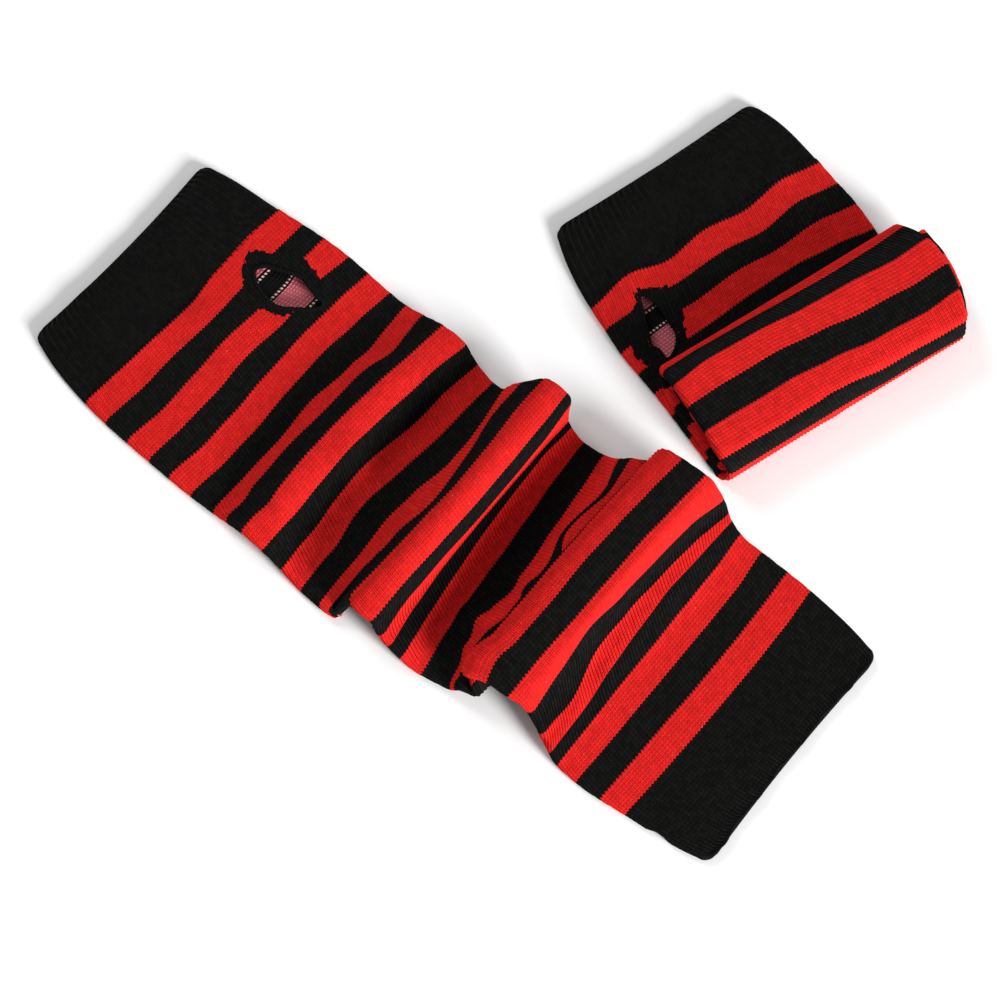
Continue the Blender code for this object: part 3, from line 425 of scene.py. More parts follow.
class Folds:
    """A warmer's shape: its table of folds, smooth from row to row, and its creases and pulls."""

    def __init__(self, table, pulls, creases, facing=1):
        self.table = filled(table, len(COLUMNS))
        self.knots = self.table[:, 0]
        self.steps = np.diff(self.knots)
        slopes = np.diff(self.table, axis=0) / self.steps[:, None]
        share = (self.steps[1:] / (self.steps[:-1] + self.steps[1:]))[:, None]
        self.tangents = np.vstack([slopes[:1], share * slopes[:-1] + (1 - share) * slopes[1:], slopes[-1:]])
        self.pulls = filled(pulls, len(PULL_WALES) + 1)
        self.creases = [dict(zip(CREASES, crease)) for crease in filled(creases, len(CREASES))]
        self.facing = facing

    def at(self, cloth):
        """Every column, each as a line of values down the page, at these distances along the cloth."""
        cloth = np.asarray(cloth, float)
        index = np.clip(np.searchsorted(self.knots, cloth, side="right") - 1, 0, len(self.knots) - 2)
        step = self.steps[index][:, None]
        t = (cloth - self.knots[index])[:, None] / step
        values = ((2 * t**3 - 3 * t**2 + 1) * self.table[index]
                  + (t**3 - 2 * t**2 + t) * step * self.tangents[index]
                  + (3 * t**2 - 2 * t**3) * self.table[index + 1]
                  + (t**3 - t**2) * step * self.tangents[index + 1])
        return {name: values[:, [column]] for column, name in enumerate(COLUMNS)}

    def creased(self, cloth, wales, names):
        """Sum of what all the creases do at each point of a grid, for each of these columns."""
        total = np.zeros((*wales.shape, len(names)))
        places = np.stack(np.broadcast_arrays(cloth[:, None], wales * WALE_WIDTH), axis=-1)
        for crease in self.creases:
            if any(crease[name] for name in names):
                start, end = (np.array((crease[f"cloth_{point}"], crease[f"wale_{point}"] * WALE_WIDTH))
                              for point in "ab")
                away = from_segment(places - start, end - start) / crease["width"]
                weight = (1 - np.minimum(away, 1) ** 2) ** 2
                total += weight[..., None] * [crease[name] for name in names]
        return total

    def knit_place(self, cloth, wales):
        """How far along the knit the stitch is that lies at each point of a grid."""
        line = cloth[:, None] - self.creased(cloth, wales, ("pull",))[..., 0]
        share = np.clip((wales - PULL_WALES[0]) / (PULL_WALES[1] - PULL_WALES[0]), 0, len(PULL_WALES) - 1)
        index = np.minimum(share.astype(int), len(PULL_WALES) - 2)
        share = share - index
        share = share * share * (3 - 2 * share)
        fade = np.clip((HALF_WALES - np.abs(wales)) / (HALF_WALES + PULL_WALES[0]), 0, 1)
        borders, shifts = self.pulls[:, 0], self.pulls[:, 1:]
        places = [border + fade * (shift[index] * (1 - share) + shift[index + 1] * share)
                  for border, shift in zip(borders, shifts)]
        knit = borders[0] + np.minimum(line - places[0], 0) + np.maximum(line - places[-1], 0)
        for near, far, length in zip(places, places[1:], np.diff(borders)):
            knit = knit + np.clip((line - near) / (far - near), 0, 1) * length
        return knit


def bow(row, name, across):
    """Value at a place across the cloth, 0 left to 1 right, of the bow through a row's three values."""
    left, middle, right = (row[f"{name}_{place}"] for place in ("left", "mid", "right"))
    return (left * (1 - across) * (1 - 2 * across) + 4 * middle * across * (1 - across)
            + right * across * (2 * across - 1))


def upper_points(row, across):
    side = row["left"] + (row["right"] - row["left"]) * across
    points = bow(row, "along", across), side, bow(row, "height", across)
    return np.stack(np.broadcast_arrays(*points), axis=-1)


def lower_points(row, across):
    points = upper_points(row, across)
    points[..., 0] += row["under_along"] - row["along_mid"]
    points[..., 2] = np.maximum(bow(row, "under", across), 0.0)
    return points


def half_loop(row, side):
    """From the middle of the upper layer, round one side fold, to the middle of the lower layer.

    Gives the points, and the wale that each one is on: wales are evenly spaced over what shows.
    """
    width = row["right"] - row["left"]
    edge = np.where(side > 0, 1.0, 0.0) * np.ones_like(width)
    thickness = np.linalg.norm((upper_points(row, edge) - lower_points(row, edge))[..., ::2], axis=-1)
    reach = np.minimum(np.maximum(thickness, LEAST_THICKNESS) / 2, SIDE_ROUND)
    start = 0.5 + side * (0.5 - reach / width)
    top = upper_points(row, 0.5 + (start - 0.5) * LAYER_STEPS)
    blend = (1 - np.cos(math.pi * SIDE_STEPS)) / 2
    upper, lower = upper_points(row, start), lower_points(row, start)
    fold = upper + (lower - upper) * blend[..., None]
    fold[..., 1] += side * reach * np.sin(math.pi * SIDE_STEPS)
    bottom = lower_points(row, start + (0.5 - start) * LAYER_STEPS)
    loop = np.concatenate((top, fold, bottom), axis=1)
    path = np.cumsum(np.linalg.norm(np.diff(loop, axis=1), axis=2), axis=1)
    path = np.hstack((np.zeros((len(path), 1)), path))
    shown = top.shape[1] + fold.shape[1] - 1
    end = path[:, [shown]]
    end_wale = np.minimum(end * HALF_WALES / width, MOST_SHOWN)
    wales = np.where(path <= end, path * end_wale / end,
                     end_wale + (HALF_WALES - end_wale) * (path - end) / (path[:, -1:] - end))
    return loop, wales


def cloth_grid(folds, cloth, wales):
    """Points of the skin: a line for each distance along the cloth, through that line's wales."""
    row = folds.at(cloth)
    grid = np.empty((*wales.shape, 3))
    for side in (-1, 1):
        loop, counted = half_loop(row, side)
        for line in range(len(cloth)):
            picked = wales[line] < 0 if side < 0 else wales[line] >= 0
            for axis in range(3):
                values = loop[line, :, axis]
                grid[line, picked, axis] = np.interp(abs(wales[line, picked]), counted[line], values)
    return grid + folds.creased(cloth, wales, ("slide", "spread", "lift"))


def skin_and_normals(folds, cloth, wales):
    """Points of the skin and its outward normals, in a grid that closes on itself across."""
    steps = (-SLOPE_STEP, 0.0, SLOPE_STEP)
    before, skin, after = (cloth_grid(folds, cloth + step, wales) for step in steps)
    around = skin[:, :-1]
    sideways = np.roll(around, -1, axis=1) - np.roll(around, 1, axis=1)
    normal = folds.facing * np.cross((after - before)[:, :-1], sideways)
    normal /= np.maximum(np.linalg.norm(normal, axis=2, keepdims=True), 1e-9)
    return skin, np.concatenate((normal, normal[:, :1]), axis=1)


def even_stations(folds, start, end, step, turn):
    """Distances along the cloth, a step apart where it is flat and closer where it turns."""
    dense = np.linspace(start, end, DENSE_LINES)
    path = cloth_grid(folds, dense, np.tile(STATION_WALES, (len(dense), 1)))
    legs = np.diff(path, axis=0)
    lengths = np.linalg.norm(legs, axis=2)
    legs = legs / np.maximum(lengths, 1e-9)[..., None]
    turns = np.arccos(np.clip((legs[1:] * legs[:-1]).sum(axis=2), -1, 1))
    turns = np.vstack((turns, np.zeros((1, turns.shape[1]))))
    effort = np.append(0, np.cumsum((lengths / step + turns / turn).max(axis=1)))
    return np.interp(np.linspace(0, effort[-1], int(effort[-1]) + 2), effort, dense)


# ---------------------------------------------------------------- meshes

@contextmanager
def edited(mesh):
    """A bmesh of the mesh, which is written back to it at the end."""
    bm = bmesh.new()
    bm.from_mesh(mesh)
    yield bm
    bm.to_mesh(mesh)
    bm.free()


def turned(along, across, angle):
    """Two coordinates, turned about the origin."""
    return (along * math.cos(angle) - across * math.sin(angle),
            along * math.sin(angle) + across * math.cos(angle))


def placed(points, place):
    """The same points in the frame's metres."""
    x, y, turn = place
    along, across = turned(points[..., 0], points[..., 1], turn)
    return np.stack((x + along, y + across, points[..., 2]), axis=-1) * MM


def grids_mesh(name, grids):
    """A mesh of grids, each with its points, its knit coordinates and its material's number."""
    mesh = bpy.data.meshes.new(name)
    with edited(mesh) as bm:
        for points, _, _ in grids:
            rows, columns = points.shape[:2]
            bmesh.ops.create_grid(bm, x_segments=columns - 1, y_segments=rows - 1, size=1.0)
    ends, materials = [], []
    for points, _, material in grids:
        rows, columns = points.shape[:2]
        end = np.zeros((rows, columns), np.int32)
        end[0], end[-1] = START_END, FAR_END
        ends.append(end.ravel())
        materials.append(np.full((rows - 1) * (columns - 1), material, np.int32))
    points = np.concatenate([grid.reshape(-1, 3) for grid, _, _ in grids])
    knit = np.concatenate([coordinates.reshape(-1, 2) for _, coordinates, _ in grids])
    corners = np.empty(len(mesh.loops), np.int32)
    mesh.loops.foreach_get("vertex_index", corners)
    mesh.vertices.foreach_set("co", points.astype(np.float32).ravel())
    mesh.uv_layers.new(name="Knit").data.foreach_set("uv", knit[corners].astype(np.float32).ravel())
    mesh.attributes.new("end", "INT", "POINT").data.foreach_set("value", np.concatenate(ends))
    mesh.polygons.foreach_set("material_index", np.concatenate(materials))
    return mesh


def close_shell(mesh):
    """Joins the two sides of each grid, and the outer wall to the inner one at both ends."""
    with edited(mesh) as bm:
        bmesh.ops.remove_doubles(bm, verts=[vert for vert in bm.verts if vert.is_boundary], dist=SAME_PLACE)
        end_layer = bm.verts.layers.int["end"]
        for end in (START_END, FAR_END):
            rim = [edge for edge in bm.edges
                   if edge.is_boundary and all(vert[end_layer] == end for vert in edge.verts)]
            bmesh.ops.bridge_loops(bm, edges=rim)
        bmesh.ops.recalc_face_normals(bm, faces=bm.faces)
    mesh.attributes.remove(mesh.attributes["end"])
    mesh.shade_smooth()
    mesh.set_sharp_from_angle(angle=math.radians(SHARP_ANGLE))


def rim_lines(is_edge, end, inward, wall):
    """Distance and depth of the lines past an end: round a cloth edge, or straight across a seam."""
    if not is_edge:
        return [(end, wall)]
    radius = wall / 2
    return [(end + inward * radius * (1 - math.sin(math.radians(angle))),
             radius * (1 - math.cos(math.radians(angle)))) for angle in RIM_ANGLES]


def new_piece(name, mesh, materials):
    for material in materials:
        mesh.materials.append(material)
    piece = bpy.data.objects.new(name, mesh)
    bpy.context.scene.collection.objects.link(piece)
    return piece


def through_curve(outline, count):
    """Points on a smooth closed curve through an outline."""
    outline = np.array(outline)
    steps = np.arange(count) * len(outline) / count
    index, t = steps.astype(int), (steps % 1.0)[:, None]
    before, first, second, after = (outline[(index + shift) % len(outline)] for shift in (-1, 0, 1, 2))
    return 0.5 * (2 * first + (second - before) * t
                  + (2 * before - 5 * first + 4 * second - after) * t**2
                  + (3 * first - before - 3 * second + after) * t**3)


def outward(curve):
    """Directions out of a closed curve, one at each of its points."""
    ahead = np.roll(curve, -1, axis=0) - np.roll(curve, 1, axis=0)
    ahead /= np.linalg.norm(ahead, axis=1, keepdims=True)
    return np.column_stack((ahead[:, 1], -ahead[:, 0]))


def signed_distance(points, outline):
    """Distance from each point to a closed outline, negative inside it."""
    start = np.array(outline)
    end = np.roll(start, -1, axis=0)
    side = end - start
    distance = from_segment(points[:, None] - start, side).min(axis=1)
    x, y = points[:, 0:1], points[:, 1:2]
    above = (start[:, 1] > y) != (end[:, 1] > y)
    rise = np.where(side[:, 1] == 0, 1, side[:, 1])
    crossing = start[:, 0] + (y - start[:, 1]) * side[:, 0] / rise
    inside = (above & (x < crossing)).sum(axis=1) % 2 == 1
    return np.where(inside, -distance, distance)


def mark_surround(piece, place, outline):
    """Writes on each point how far it is from the black knit round a thumb hole, negative within it."""
    count = len(piece.data.vertices)
    points = np.empty(count * 3, np.float32)
    piece.data.vertices.foreach_get("co", points)
    points = points.reshape(-1, 3).astype(float) / MM
    x, y, turn = place
    local = np.stack(turned(points[:, 0] - x, points[:, 1] - y, -turn), axis=1)
    low, high = np.min(outline, axis=0) - SURROUND_REACH, np.max(outline, axis=0) + SURROUND_REACH
    near = ((local > low) & (local < high)).all(axis=1) & (points[:, 2] > CUTTER_FOOT)
    distance = np.full(count, FAR_OFF, np.float32)
    distance[near] = signed_distance(local[near], outline)
    piece.data.attributes.new("surround", "FLOAT", "POINT").data.foreach_set("value", distance)


def cut_opening(piece, place, opening):
    """Cuts the thumb hole through the upper wall only."""
    outline = through_curve(opening, OPENING_POINTS)
    foot = placed(np.column_stack((outline, np.full(OPENING_POINTS, CUTTER_FOOT))), place)
    mesh = bpy.data.meshes.new("opening")
    with edited(mesh) as bm:
        bmesh.ops.create_circle(bm, cap_ends=True, segments=OPENING_POINTS, radius=1.0)
        for vert, point in zip(bm.verts, foot):
            vert.co = point
        raised = bmesh.ops.extrude_face_region(bm, geom=bm.faces[:])
        lifted = [item for item in raised["geom"] if isinstance(item, bmesh.types.BMVert)]
        bmesh.ops.translate(bm, verts=lifted, vec=(0, 0, (CUTTER_TOP - CUTTER_FOOT) * MM))
        bmesh.ops.recalc_face_normals(bm, faces=bm.faces)
    cutter = new_piece("opening", mesh, ())
    cut = piece.modifiers.new("thumb hole", "BOOLEAN")
    cut.operation = "DIFFERENCE"
    cut.solver = "EXACT"
    cut.object = cutter
    whole = piece.data
    piece.data = bpy.data.meshes.new_from_object(piece.evaluated_get(bpy.context.evaluated_depsgraph_get()))
    piece.data.name = piece.name
    piece.modifiers.clear()
    bpy.data.objects.remove(cutter)
    for used in (mesh, whole):
        bpy.data.meshes.remove(used)


def surface_height(folds, points):
    """Height of the upper layer at places along and across a flat part."""
    cloth = np.interp(points[:, 0], folds.table[:, COLUMNS.index("along_mid")], folds.knots)
    row = folds.at(cloth)
    across = (points[:, 1:2] - row["left"]) / (row["right"] - row["left"])
    return upper_points(row, across)[:, 0, 2]


def overcast_edge(name, folds, place, opening, material):
    """A bead of stitches laid side by side round a thumb hole, each one slanting over the edge."""
    path = through_curve(opening, EDGE_POINTS)
    path = path + outward(path) * EDGE_OUT
    path = np.vstack((path, path[:1]))
    length = np.append(0, np.cumsum(np.linalg.norm(np.diff(path, axis=0), axis=1)))
    rings = round(length[-1] / EDGE_STITCH) * RINGS_PER_STITCH
    at = np.linspace(0, length[-1], rings, endpoint=False)
    middle = np.column_stack([np.interp(at, length, path[:, axis]) for axis in (0, 1)])
    angle = np.linspace(0, 2 * math.pi, RING_POINTS, endpoint=False)[None, :]
    phase = at[:, None] / EDGE_STITCH + angle / (2 * math.pi) * EDGE_SLANT
    bulge = EDGE_RADIUS * (1 - EDGE_GROOVE * wave(phase))
    points = np.empty((rings, RING_POINTS, 3))
    points[..., :2] = middle[:, None] + outward(middle)[:, None] * (bulge * np.cos(angle))[..., None]
    points[..., 2] = (surface_height(folds, middle) - EDGE_SINK)[:, None] + bulge * np.sin(angle)
    points = np.pad(points, ((0, 1), (0, 1), (0, 0)), mode="wrap")
    turns = np.linspace(0, 1, RING_POINTS + 1)
    around = np.stack(np.meshgrid(turns, np.append(at, length[-1]) / EDGE_STITCH), axis=-1)
    mesh = grids_mesh(name, ((placed(points, place), around, 0),))
    with edited(mesh) as bm:
        bmesh.ops.remove_doubles(bm, verts=bm.verts, dist=SAME_PLACE)
        bmesh.ops.recalc_face_normals(bm, faces=bm.faces)
    mesh.attributes.remove(mesh.attributes["end"])
    mesh.shade_smooth()
    return new_piece(name, mesh, (material,))


# ---------------------------------------------------------------- pieces of a warmer

def wave(phase):
    """From 1 at each whole number down to 0 half way between."""
    return 0.5 + 0.5 * np.cos(2 * math.pi * phase)


def body_ribs(columns, knit):
    """Depth of the groove between two wales of the plain knit."""
    return knit.wale_depth / MM * wave(columns)


def cuff_ribs(columns, knit):
    """Depth of the grooves between the ribs of a cuff."""
    return knit.rib_depth / MM * wave(columns / RIB_WALES)


class Warmer:
    """One arm warmer: its name, where it stands, its folds, and the sizes and materials of its knit."""

    def __init__(self, context, name, place, folds):
        self.name, self.place, self.folds = name, place, folds
        self.knit = context.scene.arm_warmer_knit
        self.yarns = yarns(context)

    def wall_grid(self, lines, columns, lean, depth):
        """One side of a wall of knit: its points, and the wale and the distance along the cloth of each."""
        places = columns[None, :] - lean * (lines[:, None] - CUFF)
        places = (places + HALF_WALES) % (2 * HALF_WALES) - HALF_WALES
        skin, normals = skin_and_normals(self.folds, lines, places)
        stitches = self.folds.knit_place(lines, places)
        knit = np.stack(np.broadcast_arrays(columns[None, :], stitches), axis=-1)
        return placed(skin - normals * depth[..., None], self.place), knit

    def tube(self, part, start, end, edges=(False, False), relief=body_ribs, lean=LEAN, yarn="knit"):
        """A closed wall of knit over a stretch of the cloth, with a round rim where it ends in an edge."""
        wall = self.knit.wall / MM
        first, last = start + edges[0] * wall / 2, end - edges[1] * wall / 2
        cloth = even_stations(self.folds, first, last, OUTER_STEP, OUTER_TURN)
        inner = even_stations(self.folds, first, last, INNER_STEP, INNER_TURN)
        lines = np.array(rim_lines(edges[0], start, 1, wall)[::-1] + [(value, 0.0) for value in cloth]
                         + rim_lines(edges[1], end, -1, wall))
        columns = np.arange(-HALF_WALES, HALF_WALES + COLUMN_STEP / 2, COLUMN_STEP)
        depth = np.where(lines[:, 1:] > 0, lines[:, 1:], relief(columns, self.knit))
        name = f"{self.name}_{part}_knit"
        mesh = grids_mesh(name, (
            (*self.wall_grid(lines[:, 0], columns, lean, depth), 0),
            (*self.wall_grid(inner, columns, lean, np.full((len(inner), 1), wall)), 1)))
        close_shell(mesh)
        return new_piece(name, mesh, (self.yarns[yarn], self.yarns["reverse"]))

    def hand_part(self, end, surround, opening):
        """The cuff, the hand's stretch up to its end with the thumb hole in it, and the hole's edging."""
        cuff = self.tube("cuff", 0.0, CUFF, edges=(True, False), relief=cuff_ribs, lean=0.0)
        hand = self.tube("hand", CUFF, end, yarn="hand")
        mark_surround(hand, self.place, surround)
        cut_opening(hand, self.place, opening)
        edge = overcast_edge(f"{self.name}_thumb_stitching", self.folds, self.place, opening,
                             self.yarns["thread"])
        dress(cuff, "black_knit", f"{self.name}_hand_cuff")
        dress(hand, "striped_knit", f"{self.name}_hand_stretch")
        dress(edge, "black_thread", f"{self.name}_thumb_edging")


def dress(piece, slot, *nodes):
    """The piece stands for these nodes of the frame, which are hidden, and hangs from the body. The slot is
    not used.
    """
    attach(piece, BODY)
    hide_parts(*nodes)


# ---------------------------------------------------------------- materials

class Value:
    """What comes out of a node. Its sums and products are nodes too."""

    def __init__(self, bench, socket):
        self.bench, self.socket = bench, socket

    def math(self, operation, *others):
        return self.bench.math(operation, self, *others)

    def __abs__(self):
        return self.math("ABSOLUTE")

    def __add__(self, other):
        return self.math("ADD", other)

    def __radd__(self, other):
        return self.bench.math("ADD", other, self)

    def __sub__(self, other):
        return self.math("SUBTRACT", other)

    def __rsub__(self, other):
        return self.bench.math("SUBTRACT", other, self)

    def __mul__(self, other):
        return self.math("MULTIPLY", other)

    def __rmul__(self, other):
        return self.bench.math("MULTIPLY", other, self)

    def __truediv__(self, other):
        return self.math("DIVIDE", other)


class Bench:
    """Adds nodes to a tree and wires them."""

    def __init__(self, tree):
        self.tree = tree

    def wire(self, value, socket):
        if isinstance(value, Value):
            self.tree.links.new(value.socket, socket)
        else:
            socket.default_value = value

    def fill(self, node, **inputs):
        for name, value in inputs.items():
            self.wire(value, node.inputs[name.replace("_", " ")])

    def add(self, kind, settings=(), **inputs):
        """A new node with these settings and inputs; gives its outputs by name."""
        node = self.tree.nodes.new(kind)
        for name, value in dict(settings).items():
            setattr(node, name, value)
        self.fill(node, **inputs)
        return {socket.name: Value(self, socket) for socket in node.outputs}

    def group(self, tree, **inputs):
        return self.add("ShaderNodeGroup", {"node_tree": tree}, **inputs)

    def math(self, operation, *values, clamp=False):
        node = self.tree.nodes.new("ShaderNodeMath")
        node.operation = operation
        node.use_clamp = clamp
        for value, socket in zip(values, node.inputs):
            self.wire(value, socket)
        return Value(self, node.outputs[0])

    def ramp(self, value, low, high, to_low=0.0, to_high=1.0):
        """A value taken from one range to another, with smooth ends."""
        return self.add("ShaderNodeMapRange", {"interpolation_type": "SMOOTHSTEP"}, Value=value,
                        From_Min=low, From_Max=high, To_Min=to_low, To_Max=to_high)["Result"]

    def mix(self, factor, first, second, blend="MIX"):
        """Colour between two others."""
        node = self.tree.nodes.new("ShaderNodeMix")
        node.data_type = "RGBA"
        node.blend_type = blend
        sockets = {socket.name: socket for socket in node.inputs if socket.enabled}
        for name, value in (("Factor", factor), ("A", first), ("B", second)):
            self.wire((*value, 1.0) if isinstance(value, tuple) else value, sockets[name])
        return Value(self, next(socket for socket in node.outputs if socket.enabled))

    def shaded(self, factor, colour, tones):
        """A colour from its darker tone to its lighter one."""
        return self.mix(factor, *(tuple(channel * tone for channel in colour) for tone in tones))


def new_group(name, inputs, outputs):
    """An empty node group, its bench, and its inputs by name."""
    tree = bpy.data.node_groups.new(name, "ShaderNodeTree")
    for socket, default in inputs.items():
        made = tree.interface.new_socket(socket, in_out="INPUT", socket_type="NodeSocketFloat")
        made.default_value = default
    for socket in outputs:
        tree.interface.new_socket(socket, in_out="OUTPUT", socket_type="NodeSocketFloat")
    bench = Bench(tree)
    return tree, bench, bench.add("NodeGroupInput")


def stitches_group():
    """Rows of knit stitches: each wale is a column of V shapes, one for each course.

    Height is the relief of the yarn; in the striped knit it also paints a highlight, lighter on the raised
    middle of each leg. Line is the distance along the cloth of the stitch that a point is on, one value for
    the whole stitch, so that a colour change follows the stitches. Groove is how far a point lies in the
    groove between two wales, where the striped knit's colour is darkened as painted shade. Chance is a
    number that differs from stitch to stitch.
    """
    tree, bench, given = new_group(
        "Knit stitches", {"Wale": 0.0, "Cloth": 0.0, "Course": COURSE, "Slant": STITCH_SLANT},
        ("Height", "Line", "Groove", "Chance"))
    wale, course, slant = given["Wale"], given["Course"], given["Slant"]
    across = abs(wale.math("FRACT") - 0.5)
    courses = given["Cloth"] / course - across * slant
    row, step = courses.math("FLOOR"), courses.math("FRACT")
    stitch = bench.add("ShaderNodeCombineXYZ", X=wale.math("FLOOR"), Y=row)["Vector"]
    chance = bench.add("ShaderNodeTexWhiteNoise", {"noise_dimensions": "2D"}, Vector=stitch)["Value"]
    off_leg = abs(across * 4.0 - 1.0)
    leg = bench.math("SUBTRACT", 1.0, off_leg * off_leg, clamp=True)
    height = leg * (LEG_END_HEIGHT + 4.0 * (step * (1.0 - step)) * (1.0 - LEG_END_HEIGHT))
    bench.add("NodeGroupOutput", Height=height, Line=(row + (0.5 + slant * 0.25)) * course,
              Groove=bench.ramp(across, GROOVE_START, 0.5), Chance=chance)
    return tree


def stripes_group():
    """Mask of the red stripes, from a stitch's distance along the cloth, and how far off a border is."""
    tree, bench, given = new_group(
        "Stripes", {"Line": 0.0, "Start": CUFF, "End": HEM_START, "Red": RED, "Black": BLACK,
                    "Surround": FAR_OFF}, ("Red", "Border"))
    line, start, red = given["Line"], given["Start"], given["Red"]
    repeat = red + given["Black"]
    phase = (line - start).math("FLOORED_MODULO", repeat)
    inside = line.math("GREATER_THAN", start) * line.math("LESS_THAN", given["End"])
    clear = given["Surround"].math("GREATER_THAN", 0.0)
    nearest = abs(phase - red).math("MINIMUM", phase.math("MINIMUM", repeat - phase))
    bench.add("NodeGroupOutput", Red=phase.math("LESS_THAN", red) * (inside * clear), Border=nearest)
    return tree


def fibres_group():
    """Fuzz, slow unevenness and stray light fibres of a yarn, on knit coordinates in millimetres."""
    tree, bench, given = new_group(
        "Fibres", {"Wale": 0.0, "Cloth": 0.0, "Wale width": WALE_WIDTH}, ("Mottle", "Fuzz", "Fleck"))
    across = given["Wale"] * given["Wale width"]
    place = bench.add("ShaderNodeCombineXYZ", X=across, Y=given["Cloth"])["Vector"]
    mottle, fuzz = (bench.add("ShaderNodeTexNoise", Vector=place, **noise)["Fac"]
                    for noise in (MOTTLE_NOISE, FUZZ_NOISE))
    specks = bench.add("ShaderNodeTexVoronoi", Vector=place, Scale=FLECK_SCALE, Randomness=1.0)
    chosen = bench.add("ShaderNodeSeparateColor", Color=specks["Color"])["Red"]
    fleck = bench.ramp(specks["Distance"], *FLECK_EDGE) * chosen.math("GREATER_THAN", FLECK_RARITY)
    bench.add("NodeGroupOutput", Mottle=mottle, Fuzz=fuzz, Fleck=fleck)
    return tree


def principled(name, specular):
    """A new material, and its shader with this specular level."""
    material = bpy.data.materials.new(name)
    material.use_nodes = True
    shader = material.node_tree.nodes["Principled BSDF"]
    shader.inputs["Metallic"].default_value = 0.0
    shader.inputs["Specular IOR Level"].default_value = specular
    return material, shader


class YarnMaterial:
    """A material of yarn on the knit's coordinates: the wale, and the distance along the cloth."""

    def __init__(self, name, groups):
        self.material, self.shader = principled(name, YARN_SPECULAR)
        self.bench = Bench(self.material.node_tree)
        place = self.bench.add("ShaderNodeUVMap", {"uv_map": "Knit"})["UV"]
        place = self.bench.add("ShaderNodeSeparateXYZ", Vector=place)
        self.wale, self.cloth = place["X"], place["Y"]
        self.fibre = self.bench.group(groups["fibres"], Wale=self.wale, Cloth=self.cloth)

    def finish(self, knit, colour, height, roughness):
        """Wires up the colour, the roughness of the fuzz, and the bump of the stitches and the fuzz."""
        fuzz = self.fibre["Fuzz"]
        bump = self.bench.add("ShaderNodeBump", Height=height + fuzz * FUZZ_RELIEF,
                              Strength=knit.stitch_strength, Distance=knit.stitch_height)
        self.bench.fill(self.shader, Base_Color=colour, Normal=bump["Normal"],
                        Roughness=self.bench.ramp(fuzz, *NOISE_RANGE, *roughness))
        return self.material


def knitted(name, groups, knit, colours, surround=False):
    """Striped knit as it shows on the outside."""
    yarn = YarnMaterial(name, groups)
    bench, fibre = yarn.bench, yarn.fibre
    stitch = bench.group(groups["stitches"], Wale=yarn.wale, Cloth=yarn.cloth)
    distance = FAR_OFF
    if surround:
        distance = bench.add("ShaderNodeAttribute", {"attribute_name": "surround"})["Fac"]
        distance = distance + bench.ramp(stitch["Chance"], 0.0, 1.0, -RAGGED, RAGGED)
    stripe = bench.group(groups["stripes"], Line=stitch["Line"], Surround=distance)
    # Half a random tone per stitch, half the stitch's height: the raised middle of each leg is painted
    # lighter, as a painted highlight
    tone = stitch["Chance"] * 0.5 + stitch["Height"] * 0.5
    # Each yarn goes from its dark tone to its light one, and is darkened to its groove tone between the
    # wales as painted shade
    red, black = (bench.mix(stitch["Groove"], bench.shaded(tone, colour, tones[:2]),
                            tuple(channel * tones[2] for channel in colour))
                  for colour, tones in ((colours.red, RED_TONES), (colours.black, BLACK_TONES)))
    red = bench.mix(fibre["Fleck"] * FLECK_TINT, red, tuple(colours.fleck))
    worn = bench.ramp(fibre["Mottle"], *NOISE_RANGE, *WORN)
    worn = bench.add("ShaderNodeCombineColor", Red=worn, Green=worn, Blue=worn)["Color"]
    colour = bench.mix(1.0, bench.mix(stripe["Red"], black, red), worn, "MULTIPLY")
    return yarn.finish(knit, colour, stitch["Height"], KNIT_ROUGHNESS)


def reverse(name, groups, knit, colours):
    """The inside of the knit, where the floats of the yarn show and the red is paler."""
    yarn = YarnMaterial(name, groups)
    bench, fibre = yarn.bench, yarn.fibre
    line = yarn.cloth + REVERSE_SHIFT
    stripe = bench.group(groups["stripes"], Line=line)
    from_row = (line / COURSE).math("PINGPONG", 0.5)
    from_wale = yarn.wale.math("PINGPONG", 0.5)
    away = (from_row.math("POWER", 2.0) + from_wale.math("POWER", 2.0)).math("SQRT")
    dot = bench.ramp(away, *DOT_EDGE)
    floats = bench.shaded(dot * 0.6 + fibre["Fuzz"] * 0.5, colours.reverse, FLOAT_TONES)
    colour = bench.mix(stripe["Red"], tuple(colours.black), floats)
    beside = (1.0 - stripe["Red"]) * bench.ramp(abs(stripe["Border"] - DOT_ROW), *DOT_ROW_EDGE)
    colour = bench.mix(beside * bench.ramp(from_wale, *DOT_SIDE), colour, tuple(colours.fleck))
    return yarn.finish(knit, colour, dot, REVERSE_ROUGHNESS)


def thread(name, groups, knit, colours):
    """Black overcasting thread: a few strands laid side by side in each stitch."""
    yarn = YarnMaterial(name, groups)
    turn, stitch = yarn.wale, yarn.cloth
    strand = (stitch * STRANDS + turn * (STRANDS * EDGE_SLANT)).math("PINGPONG", 0.5)
    colour = yarn.bench.shaded(yarn.fibre["Mottle"], colours.black, THREAD_TONES)
    return yarn.finish(knit, colour, strand * 2.0, THREAD_ROUGHNESS)


def yarns(context):
    """The pair's materials, made once for all the pieces of one run."""
    if not YARNS:
        groups = {"stitches": stitches_group(), "stripes": stripes_group(), "fibres": fibres_group()}
        given = groups, context.scene.arm_warmer_knit, context.scene.arm_warmer_colours
        YARNS["knit"] = knitted("Striped knit", *given)
        YARNS["hand"] = knitted("Striped knit round a thumb hole", *given, surround=True)
        YARNS["reverse"] = reverse("Reverse of the striped knit", *given)
        YARNS["thread"] = thread("Black overcasting thread", *given)
    return YARNS


# ---------------------------------------------------------------- sizes and colours that a user changes

